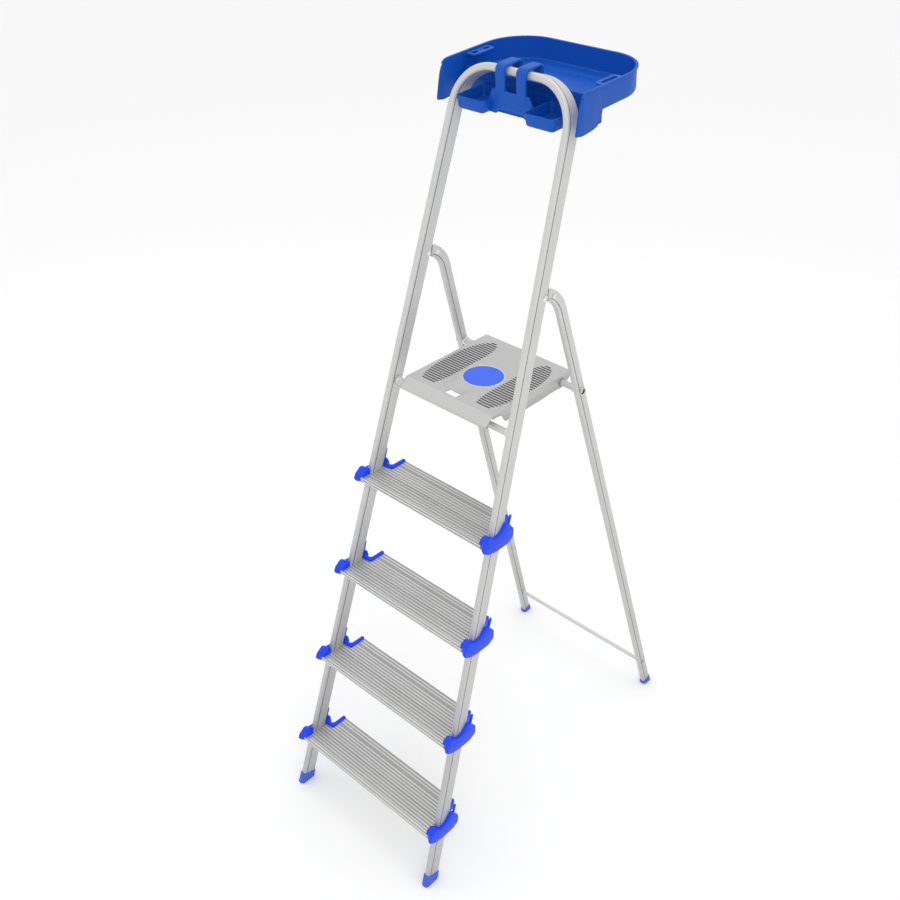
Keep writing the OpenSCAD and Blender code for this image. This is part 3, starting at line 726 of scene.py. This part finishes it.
class LADDER_OT_rods(Operator):
    """Rods, bar, collars and pivot rivets, turned with flared ends and round heads"""

    bl_idname = "ladder.rods"
    bl_label = "Rods and rivets"

    def execute(self, context):
        for node, body, look in (
            ("front_rod", "front", "tube_aluminium"),
            ("rear_rod", "rear", "tube_aluminium"),
            ("lower_bar", "rear", "tube_aluminium"),
        ):
            low, high = [Vector(c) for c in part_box(node)]
            centre = (low + high) / 2
            radius = (5 if node == "lower_bar" else 7.5) * MM
            end, flare = (high.x - 9 * MM, 0) if node == "front_rod" else (high.x, 2 * MM)
            if node == "rear_rod":
                end += 2 * MM
            self.rod(node, body, look, centre, end, radius, flare)
        for node, body in (("front_rod_collars", "front"), ("rear_rod_collars", "rear")):
            low, high = [Vector(c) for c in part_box(node)]
            self.collar_pair(node, body, (low + high) / 2, high)
        for side in ("left", "right"):
            low, high = [Vector(c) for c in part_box(f"pivot_rivet_{side}")]
            self.rivet(f"pivot_rivet_{side}", low, high)
        return {"FINISHED"}

    def rod(self, node, body, look, centre, end, radius, flare):
        wall = 1.5 * MM
        inner = radius - wall
        profile = [
            (0, radius), (end - 5 * MM, radius), (end - 2 * MM, radius + 0.2 * MM),
            (end - 1.5 * MM, radius + flare - 0.3 * MM), (end - 1.1 * MM, radius + flare),
            (end - 0.5 * MM, radius + flare), (end - 0.1 * MM, radius + flare - 0.5 * MM),
            (end, radius + flare * 0.5), (end - 0.2 * MM, inner + 1.2 * MM),
            (end - 1.2 * MM, inner + 0.4 * MM), (end - 4 * MM, inner),
            (end - 14 * MM, inner), (end - 14 * MM, 0),
        ]
        if not flare:
            profile = [(0, radius), (end, radius), (end, 0)]
        bm = lathe(profile, (0, 0, 0), "X", closed=False)
        for face in bm.faces:
            c = face.calc_center_median()
            if flare and c.x > end - 15 * MM and math.hypot(c.y, c.z) < inner + 0.3 * MM:
                face.material_index = 1
        bmesh.ops.mirror(
            bm, geom=bm.verts[:] + bm.edges[:] + bm.faces[:], matrix=IDENTITY,
            merge_dist=1e-5, axis="X",
        )
        outward(bm)
        bmesh.ops.translate(bm, vec=(0, centre.y, centre.z), verts=bm.verts)
        rod = add_mesh(f"{node}_tube", bm, body, look, [node])
        rod.data.materials.append(finish_named("bore_shade"))

    def collar_pair(self, node, body, centre, high):
        outer, bore, length = 10 * MM, 7.5 * MM, 9 * MM
        a, b, edge = high.x - length, high.x, 0.8 * MM
        profile = [
            (a, bore), (a, outer - edge), (a + edge, outer), (a + 3 * MM, outer),
            (a + 3.4 * MM, outer - 0.4 * MM), (a + 3.8 * MM, outer), (b - edge, outer),
            (b, outer - edge), (b, bore),
        ]
        bm = lathe(profile, (0, centre.y, centre.z), "X", 32)
        take_in(bm, mirrored(bm))
        add_mesh(f"{node}_rings", bm, body, "rivets", [node])

    def rivet(self, node, low, high):
        centre = (low + high) / 2
        r, shank = (high.z - low.z) / 2, 4 * MM
        head = 1.6 * MM
        a, b = low.x - centre.x, high.x - centre.x
        profile = [
            (a, 0), (a, r * 0.45), (a + 0.3 * head, r * 0.75), (a + 0.75 * head, r),
            (a + head, r), (a + head, shank), (b - head, shank), (b - head, r),
            (b - 0.75 * head, r), (b - 0.3 * head, r * 0.75), (b, r * 0.45), (b, 0),
        ]
        bm = lathe(profile, centre, "X", 28, closed=False)
        add_mesh(f"{node}_turned", bm, "front", "rivets", [node])


class LADDER_OT_feet(Operator):
    """Blue shoes on the four legs, ribbed and toothed at the front"""

    bl_idname = "ladder.feet"
    bl_label = "Feet"

    def execute(self, context):
        s = context.scene.ladder_sizes
        stile = frame_place(s) @ move(s.foot_width / 2) @ Matrix.Rotation(-s.stile_taper, 4, "Y")
        self.foot("front_foot", "front", stile, s.stile_w, s.stile_d, 26 * MM, 5)
        self.foot("rear_foot", "rear", leg_place(s), s.leg_w, s.leg_d, 15 * MM, 0)
        return {"FINISHED"}

    def foot(self, name, body, place, width, depth, height, teeth):
        wall = 2.3 * MM
        bm = bmesh.new()
        bmesh.ops.create_grid(bm, x_segments=1, y_segments=1, size=0.5)
        size = (width + 2 * wall, depth + 2 * wall, 1)
        bmesh.ops.scale(bm, vec=size, verts=bm.verts)
        bevel(bm, bm.verts[:], 7.4 * MM, 6, "VERTICES")
        bmesh.ops.translate(bm, vec=(0, 0, height), verts=bm.verts)
        made = bmesh.ops.extrude_face_region(bm, geom=bm.faces[:])["geom"]
        low = [g for g in made if isinstance(g, bmesh.types.BMVert)]
        bmesh.ops.translate(bm, vec=(0, 0, -height - 30 * MM), verts=low)
        bmesh.ops.recalc_face_normals(bm, faces=bm.faces)
        top = [e for e in bm.edges if all(v.co.z > height - 1e-6 for v in e.verts)]
        bevel(bm, top, 1.2 * MM, 3)
        bmesh.ops.transform(bm, matrix=place, verts=bm.verts)
        bmesh.ops.bisect_plane(
            bm, geom=bm.verts[:] + bm.edges[:] + bm.faces[:], dist=1e-6,
            plane_co=(0, 0, 0), plane_no=(0, 0, 1), clear_inner=True,
        )
        rim = [e for e in bm.edges if e.is_boundary]
        bmesh.ops.contextual_create(bm, geom=rim)
        outward(bm)
        if teeth:
            self.cut_teeth(bm, teeth)
        left = mirrored(bm)
        for side, shape in (("right", bm), ("left", left)):
            add_mesh(
                f"{name}_shoe_{side}", shape, body, "foot_plastic", [f"{name}_{side}"]
            )

    def cut_teeth(self, bm, teeth):
        """Saw teeth across the sole: strips of it lifted by turns"""
        low = min(v.co.y for v in bm.verts if v.co.z < 1e-5)
        high = max(v.co.y for v in bm.verts if v.co.z < 1e-5)
        count = 2 * teeth + 1
        pitch = (high - low) / count
        for k in range(1, count):
            bmesh.ops.bisect_plane(
                bm, geom=bm.verts[:] + bm.edges[:] + bm.faces[:], dist=1e-7,
                plane_co=(0, low + k * pitch, 0), plane_no=(0, 1, 0),
            )
        bmesh.ops.bisect_plane(
            bm, geom=bm.verts[:] + bm.edges[:] + bm.faces[:], dist=1e-7,
            plane_co=(0, 0, 5 * MM), plane_no=(0, 0, 1),
        )
        for v in bm.verts:
            k = round((v.co.y - low) / pitch)
            if v.co.z < 1e-5 and k % 2 == 1:
                v.co.z = 3 * MM


class LADDER_OT_platform(Operator):
    """The pressed platform: sheet, skirts, rolled edge, scoop and finger opening"""

    bl_idname = "ladder.platform"
    bl_label = "Platform"

    def execute(self, context):
        s = context.scene.ladder_sizes
        bm = bmesh.new()
        half, depth = s.platform_w / 2, s.platform_back - s.platform_front
        bmesh.ops.create_grid(bm, x_segments=62, y_segments=66, size=0.5)
        bmesh.ops.scale(bm, vec=(2 * half, depth, 1), verts=bm.verts)
        middle = (s.platform_front + s.platform_back) / 2
        bmesh.ops.translate(bm, vec=(0, middle, s.platform_z), verts=bm.verts)
        window = [
            f for f in bm.faces
            if abs(f.calc_center_median().x) < 15 * MM
            and 5 * MM < f.calc_center_median().y - s.platform_front < 27 * MM
        ]
        bmesh.ops.delete(bm, geom=window, context="FACES")
        self.press(bm, s)
        self.fold_front(bm, s)
        self.fold_sides(bm, s)
        bmesh.ops.recalc_face_normals(bm, faces=bm.faces)
        if sum(f.normal.z for f in bm.faces) < 0:
            bmesh.ops.reverse_faces(bm, faces=bm.faces)
        piece = add_mesh("platform_sheet", bm, "platform", "platform_sheet", ["platform"])
        add_wall(piece, s.sheet * 0.9)
        self.ribs(s)
        self.disc(s)
        return {"FINISHED"}

    def press(self, bm, s):
        """Presses the scoop behind the finger opening and the ring round the disc"""
        scoop = Vector((-3 * MM, s.platform_front + 40 * MM))
        ring = Vector((0, s.platform_front + 112 * MM))
        for v in bm.verts:
            flat = Vector((v.co.x, v.co.y))
            near = (flat - scoop).length / (30 * MM)
            if near < 1:
                v.co.z -= 7 * MM * (1 - near * near) ** 1.5
            if (flat - ring).length < 44 * MM:
                v.co.z -= 1.2 * MM

    def fold_front(self, bm, s):
        """Front band sloping down to a rolled bead"""
        front = [
            e for e in bm.edges
            if all(abs(v.co.y - s.platform_front) < 1e-6 for v in e.verts)
        ]
        slope = math.radians(38)
        ring, band = front, 26 * MM
        for _ in range(2):
            step = (0, -band / 2 * math.cos(slope), -band / 2 * math.sin(slope))
            ring = run_on(bm, ring, step)
        low = min(v.co.y for e in ring for v in e.verts)
        height = min(v.co.z for e in ring for v in e.verts)
        radius = 4.6 * MM
        centre = (0, low + radius * math.sin(slope), height - radius * math.cos(slope))
        bend_on(bm, ring, centre, (1, 0, 0), math.radians(250), 14)

    def fold_sides(self, bm, s):
        """Side skirts with an arched lower edge, and the turned-down back edge"""
        half = s.platform_w / 2
        side = [
            e for e in bm.edges
            if all(abs(abs(v.co.x) - half) < 1e-6 and v.co.y > s.platform_front - 1e-6
                   and v.co.z > s.platform_z - 1e-4 for v in e.verts)
        ]
        back = [
            e for e in bm.edges if all(abs(v.co.y - s.platform_back) < 1e-6 for v in e.verts)
        ]
        edges = run_on(bm, side + back, (0, 0, -1.5 * MM))
        verts = {v for e in edges for v in e.verts}
        for v in verts:
            v.co.x *= (half + 0.0) / half
        edges = run_on(bm, edges, (0, 0, -1 * MM))
        for v in {v for e in edges for v in e.verts}:
            on_side = abs(abs(v.co.x) - half) < 1e-5
            v.co.z = s.platform_z - (self.skirt(v.co.y - s.platform_front) if on_side else 10 * MM)

    def skirt(self, y):
        """Depth of the skirt at a distance behind the front edge"""
        stops = [(0, 8), (18, 9), (26, 10), (44, 31), (70, 32), (150, 31), (205, 29),
                 (232, 30), (246, 22), (263, 11)]
        stops = [(a * MM, b * MM) for a, b in stops]
        for (a, da), (b, db) in zip(stops, stops[1:]):
            if y <= b:
                t = max(0, min(1, (y - a) / (b - a)))
                t = t * t * (3 - 2 * t)
                return da + (db - da) * t
        return stops[-1][1]

    def ribs(self, s):
        """Dark grip ribs in two bean-shaped pads"""
        bm = bmesh.new()
        first, last = 21 * MM, 238 * MM
        for side in (-1, 1):
            for k in range(s.rib_count):
                y = first + (last - first) * k / (s.rib_count - 1)
                t = k / (s.rib_count - 1)
                u = abs((0.07 + 0.92 * t - 0.5) / 0.5)
                reach = 31 * math.sqrt(1 - u ** 3)
                middle = 79 + 6 * math.sin(math.pi * t)
                inner, outer = middle - reach, middle + reach
                a, b = inner * MM, outer * MM
                width, r = 3.4 * MM, 1.6 * MM
                bar = [(a, -width / 2, r), (b, -width / 2, r), (b, width / 2, r), (a, width / 2, r)]
                place = move(0, s.platform_front + y, s.platform_z - 0.3 * MM)
                if side < 0:
                    place = place @ Matrix.Scale(-1, 4, (1, 0, 0))
                take_in(bm, plate([rounded(bar)], 0.9 * MM, 0.3 * MM, place))
        add_mesh("grip_ribs", bm, "platform", "bush_plastic", look="grip_rubber")

    def disc(self, s):
        """Round plug with a low dome, in its groove"""
        r = s.disc_d / 2
        profile = [
            (0.95, 0), (0.95, r / MM * 0.5), (0.85, r / MM - 5), (0.7, r / MM - 2.4),
            (0.3, r / MM - 1.7), (-2, r / MM - 1.6), (-2, 0),
        ]
        profile = [(a * MM, b * MM) for a, b in profile]
        centre = (0, s.platform_front + 112 * MM, s.platform_z)
        bm = lathe(profile, centre, "Z", 72, closed=False)
        add_mesh("disc_plug", bm, "platform", "disc_plastic", ["platform_disc"])
        rim = [(-1.4, r / MM - 1.3), (0.1, r / MM - 1.3), (0.6, r / MM - 0.6),
               (0.6, r / MM + 0.4), (0.1, r / MM + 1.2), (-1.4, r / MM + 1.2)]
        rim = [(a * MM, b * MM) for a, b in rim]
        bm = lathe(rim, centre, "Z", 72)
        add_mesh("disc_ring", bm, "platform", "platform_sheet", look="rivets")


class LADDER_OT_tray(Operator):
    """The tool tray: bin, ears, front boxes, panel, straps and tool holders"""

    bl_idname = "ladder.tray"
    bl_label = "Tool tray"

    def execute(self, context):
        s = context.scene.ladder_sizes
        place = tray_place(s)
        self.bin(s, place)
        self.boxes(s, place)
        self.panel_and_straps(s, place)
        self.tool_holders(s, place)
        return {"FINISHED"}

    def shell(self, low, high, corner, bottom, back_only=False, draft=0.0):
        """An open box with round corners"""
        bm = bmesh.new()
        low, high = Vector(low), Vector(high)
        bmesh.ops.create_cube(bm, size=1)
        bmesh.ops.scale(bm, vec=high - low, verts=bm.verts)
        bmesh.ops.translate(bm, vec=(low + high) / 2, verts=bm.verts)
        for v in bm.verts:
            if v.co.z < low.z + 1e-6:
                v.co.x -= math.copysign(draft, v.co.x - (low.x + high.x) / 2)
                v.co.y -= math.copysign(draft, v.co.y - (low.y + high.y) / 2)
        upright = [
            e for e in bm.edges
            if abs((e.verts[0].co - e.verts[1].co).z) > (high.z - low.z) / 2
            and (not back_only or e.verts[0].co.y > (low.y + high.y) / 2)
        ]
        bevel(bm, upright, corner, 14 if back_only else 6)
        lid = [f for f in bm.faces if f.normal.z > 0.9]
        bmesh.ops.delete(bm, geom=lid, context="FACES")
        floor = [e for e in bm.edges if all(v.co.z < low.z + 1e-6 for v in e.verts)
                 and len(e.link_faces) == 2 and abs(e.calc_face_angle(0)) > 1]
        bevel(bm, floor, bottom, 4)
        return bm

    def bin(self, s, place):
        """Side walls with their ears, round back corners, and a floor with a ledge"""
        x, front, depth, tall = s.tray_w / 2, 30.3 * MM, 168 * MM, 46 * MM
        bm = self.shell((-x, front, -tall), (x, front + depth, 0), 92 * MM, 7 * MM, True)
        gone = [f for f in bm.faces if f.normal.y < -0.95]
        bmesh.ops.delete(bm, geom=gone, context="FACES")
        floor = [f for f in bm.faces if f.normal.z < -0.99]
        for inset, drop in ((20, 0), (3, 4), (26, 0), (3, -3)):
            bmesh.ops.inset_region(bm, faces=floor, thickness=inset * MM, use_boundary=False)
            inner = list({v for f in floor for v in f.verts})
            bmesh.ops.translate(bm, vec=(0, 0, -drop * MM), verts=inner)
        for side in (-1, 1):
            self.ear(bm, side * x, front)
        rim = [e for e in bm.edges if e.is_boundary and min(v.co.z for v in e.verts) > -9 * MM]
        made = bmesh.ops.extrude_edge_only(bm, edges=rim)["geom"]
        for v in [g for g in made if isinstance(g, bmesh.types.BMVert)]:
            arc = Vector((math.copysign(x - 92 * MM, v.co.x), front + depth - 92 * MM))
            out = Vector((v.co.x, v.co.y)) - arc
            if v.co.y < arc.y:
                out = Vector((v.co.x, 0))
            elif abs(v.co.x) < abs(arc.x):
                out = Vector((0, 1))
            out.normalize()
            ahead = min(1, max(0.1, (v.co.y + 31 * MM) / (25 * MM)))
            v.co += Vector((out.x, out.y, 0)) * 2.6 * MM * ahead
        bmesh.ops.recalc_face_normals(bm, faces=bm.faces)
        base = [f for f in bm.faces if f.calc_center_median().z < -0.9 * tall]
        if sum(f.normal.z for f in base) > 0:
            bmesh.ops.reverse_faces(bm, faces=bm.faces)
        bmesh.ops.transform(bm, matrix=place, verts=bm.verts)
        piece = add_mesh("tray_bin", bm, "front", "tray_plastic", ["tray"])
        add_wall(piece, s.tray_wall)
        add_edges(piece, 0.6 * MM, limit=50)
        wall = [(-173, -46, 1), (173, -46, 1), (173, -24, 6), (-173, -24, 6)]
        wall = rounded([(a * MM, b * MM, c * MM) for a, b, c in wall])
        upright = place @ move(0, front + 4 * MM) @ turn(90, "X")
        add_mesh("tray_front_wall", plate([wall], s.tray_wall, 0.7 * MM, upright), "front",
                 "tray_plastic")

    def ear(self, bm, x, front):
        """Carries a side wall on forward, outside the stile, and down"""
        edge = [
            e for e in bm.edges
            if e.is_boundary and all(abs(v.co.x - x) < 1e-6 and abs(v.co.y - front) < 1e-6
                                     for v in e.verts)
        ]
        stops = [
            (26, 0, -60), (14, 0, -71), (2, 0, -74), (-8, 0, -75), (-16, 0, -75.5),
            (-22, -0.5, -76), (-27, -2.5, -76.5), (-31, -6, -76.5), (-35, -12, -76),
            (-39, -21, -75.2), (-43, -36, -74.4), (-47, -54, -73.5), (-50, -68, -72.5),
        ]
        for y, high, low in stops:
            made = bmesh.ops.extrude_edge_only(bm, edges=edge)["geom"]
            verts = [g for g in made if isinstance(g, bmesh.types.BMVert)]
            edge = [
                g for g in made if isinstance(g, bmesh.types.BMEdge)
                and all(v in verts for v in g.verts)
            ]
            middle = sum(v.co.z for v in verts) / len(verts)
            for v in verts:
                v.co.y = y * MM
                v.co.z = (high if v.co.z > middle else low) * MM

    def boxes(self, s, place):
        """Two small open boxes that reach under the bow"""
        low, high = (50 * MM, -52.5 * MM, -78 * MM), (124 * MM, 33 * MM, -52 * MM)
        bm = self.shell(low, high, 9 * MM, 5 * MM, False, 2.5 * MM)
        bmesh.ops.recalc_face_normals(bm, faces=bm.faces)
        if sum(f.normal.z for f in bm.faces if f.calc_center_median().z < -70 * MM) > 0:
            bmesh.ops.reverse_faces(bm, faces=bm.faces)
        take_in(bm, mirrored(bm))
        bmesh.ops.transform(bm, matrix=place, verts=bm.verts)
        piece = add_mesh("tray_boxes", bm, "front", "tray_plastic")
        add_wall(piece, s.tray_wall)
        add_edges(piece, 0.7 * MM)

    def panel_and_straps(self, s, place):
        front = -28.5
        arch = [
            (-60, -77, 3), (-38, -78, 5), (-28, -70, 8), (28, -70, 8), (38, -78, 5), (60, -77, 3),
            (58, -55, 4), (46, -31, 4), (-46, -31, 4), (-58, -55, 4),
        ]
        arch = rounded([(a * MM, b * MM, c * MM) for a, b, c in arch])
        bm = plate([arch], 3.2 * MM, 1 * MM, place @ move(0, (front + 3.2) * MM) @ turn(90, "X"))
        base = [(-50, -28, 2), (50, -28, 2), (50, 32, 2), (-50, 32, 2)]
        base = rounded([(a * MM, b * MM, c * MM) for a, b, c in base])
        take_in(bm, plate([base], 2.8 * MM, 0.6 * MM, place @ move(0, 0, -74 * MM)))
        back = [(-172, -73, 6), (172, -73, 6), (172, -44, 1), (-172, -44, 1)]
        back = rounded([(a * MM, b * MM, c * MM) for a, b, c in back])
        take_in(bm, plate([back], 2.8 * MM, 0.6 * MM, place @ move(0, 33 * MM) @ turn(90, "X")))
        top = (s.bow_height - s.tray_rim_z) / MM + 7
        strap = [
            (front - 1, -50, 3.3), (front - 1, top, 13), (29, top, 12), (29, -6, 3.3),
            (22, -6, 3.3), (22, top - 6, 6), (front + 6.5, top - 6, 6), (front + 6.5, -50, 3.3),
        ]
        strap = rounded([(a * MM, b * MM, c * MM) for a, b, c in strap])
        for x in (-38, 14):
            upright = place @ move(x * MM) @ turn(90, "Z") @ turn(90, "X")
            take_in(bm, plate([strap], 24 * MM, 3.1 * MM, upright))
        piece = add_mesh("tray_straps", bm, "front", "tray_plastic")
        return piece

    def tool_holders(self, s, place):
        x = s.tray_w / 2 - s.tray_wall - 26 * MM
        tab = [(0, 2, 9), (27, 0, 2), (27, 64, 2), (0, 62, 9)]
        slot = [(8, 10, 4.5), (18, 10, 4.5), (18, 54, 4.5), (8, 54, 4.5)]
        holes = [
            [(8, 6, 4), (19, 6, 4), (19, 24, 4), (8, 24, 4)],
            [(11, 29.5, 2.4), (16, 29.5, 2.4), (16, 34.5, 2.4), (11, 34.5, 2.4)],
            [(8, 40, 4), (19, 40, 4), (19, 58, 4), (8, 58, 4)],
        ]
        scaled = lambda points: rounded([(a * MM, b * MM, c * MM) for a, b, c in points])
        at = place @ move(x, 36.3 * MM, -4.5 * MM)
        right = plate([scaled(tab), scaled(slot)], 3.4 * MM, 0.7 * MM, at)
        add_mesh("tool_tab_right", right, "front", "tray_plastic", ["tool_holder_right"])
        left = mirrored(plate([scaled(tab)] + [scaled(h) for h in holes], 3.4 * MM, 0.7 * MM, at))
        add_mesh("tool_tab_left", left, "front", "tray_plastic", ["tool_holder_left"])


class LADDER_OT_stage(Operator):
    """Floor, soft studio light and camera"""

    bl_idname = "ladder.stage"
    bl_label = "Stage"

    def execute(self, context):
        scene = context.scene
        bm = bmesh.new()
        bmesh.ops.create_grid(bm, x_segments=1, y_segments=1, size=14)
        mesh = bpy.data.meshes.new("floor")
        bm.to_mesh(mesh)
        bm.free()
        floor = bpy.data.objects.new("floor", mesh)
        scene.collection.objects.link(floor)
        paper = bpy.data.materials.new("floor_paper")
        paper.use_nodes = True
        shader = paper.node_tree.nodes["Principled BSDF"]
        shader.inputs["Base Color"].default_value = (0.93, 0.93, 0.93, 1)
        shader.inputs["Roughness"].default_value = 0.9
        mesh.materials.append(paper)
        world = bpy.data.worlds.new("studio")
        world.use_nodes = True
        nodes, links = world.node_tree.nodes, world.node_tree.links
        sky = nodes["Background"]
        sky.inputs["Color"].default_value = (1, 1, 1, 1)
        way = nodes.new("ShaderNodeTexCoord")
        split = nodes.new("ShaderNodeSeparateXYZ")
        links.new(way.outputs["Generated"], split.inputs["Vector"])
        fade = nodes.new("ShaderNodeMapRange")
        fade.inputs["From Min"].default_value = 0.0
        fade.inputs["From Max"].default_value = 0.9
        fade.inputs["To Min"].default_value = 0.62
        fade.inputs["To Max"].default_value = 1.15
        links.new(split.outputs["Z"], fade.inputs["Value"])
        links.new(fade.outputs["Result"], sky.inputs["Strength"])
        scene.world = world
        scene.view_settings.view_transform = "Standard"
        for name, place, aim, size, power in (
            ("key", (2.6, -2.4, 3.6), (0, 0, 0.9), 2.2, 26),
            ("fill", (-3.0, -1.6, 2.4), (0, 0, 0.9), 2.6, 4),
            ("top", (0.2, 0.6, 4.4), (0, 0, 0.8), 2.4, 14),
        ):
            light = bpy.data.lights.new(name, "AREA")
            light.size = size
            light.energy = power
            lamp = bpy.data.objects.new(name, light)
            lamp.location = place
            look = Vector(aim) - Vector(place)
            lamp.rotation_euler = look.to_track_quat("-Z", "Y").to_euler()
            scene.collection.objects.link(lamp)
        camera = bpy.data.cameras.new("camera")
        camera.lens = 43.93
        camera.sensor_width = 36
        viewer = bpy.data.objects.new("camera", camera)
        viewer.location = (1.3646, -1.5998, 2.3301)
        look = Vector((-0.56667, 0.60783, -0.55627))
        viewer.rotation_euler = look.to_track_quat("-Z", "Y").to_euler()
        scene.collection.objects.link(viewer)
        scene.camera = viewer
        return {"FINISHED"}


PIECES = (
    LADDER_OT_front_frame,
    LADDER_OT_rear_legs,
    LADDER_OT_treads,
    LADDER_OT_fixings,
    LADDER_OT_brackets,
    LADDER_OT_rods,
    LADDER_OT_feet,
    LADDER_OT_platform,
    LADDER_OT_tray,
    LADDER_OT_stage,
)


class LADDER_PT_sidebar(Panel):
    """Buttons that build the ladder piece by piece"""

    bl_idname = "LADDER_PT_sidebar"
    bl_label = "Step ladder"
    bl_space_type = "VIEW_3D"
    bl_region_type = "UI"
    bl_category = "Ladder"

    def draw(self, context):
        for piece in PIECES:
            self.layout.operator(piece.bl_idname)
        for group in (context.scene.ladder_sizes, context.scene.ladder_colours):
            box = self.layout.box()
            for name in group.bl_rna.properties.keys():
                if name not in ("rna_type", "name"):
                    box.prop(group, name)


CLASSES = (LadderSizes, LadderColours, *PIECES, LADDER_PT_sidebar)


def register():
    for item in CLASSES:
        bpy.utils.register_class(item)
    bpy.types.Scene.ladder_sizes = PointerProperty(type=LadderSizes)
    bpy.types.Scene.ladder_colours = PointerProperty(type=LadderColours)


def unregister():
    del bpy.types.Scene.ladder_colours
    del bpy.types.Scene.ladder_sizes
    for item in reversed(CLASSES):
        bpy.utils.unregister_class(item)


def main():
    register()
    for piece in PIECES:
        group, name = piece.bl_idname.split(".")
        getattr(getattr(bpy.ops, group), name)()


if __name__ == "__main__":
    main()
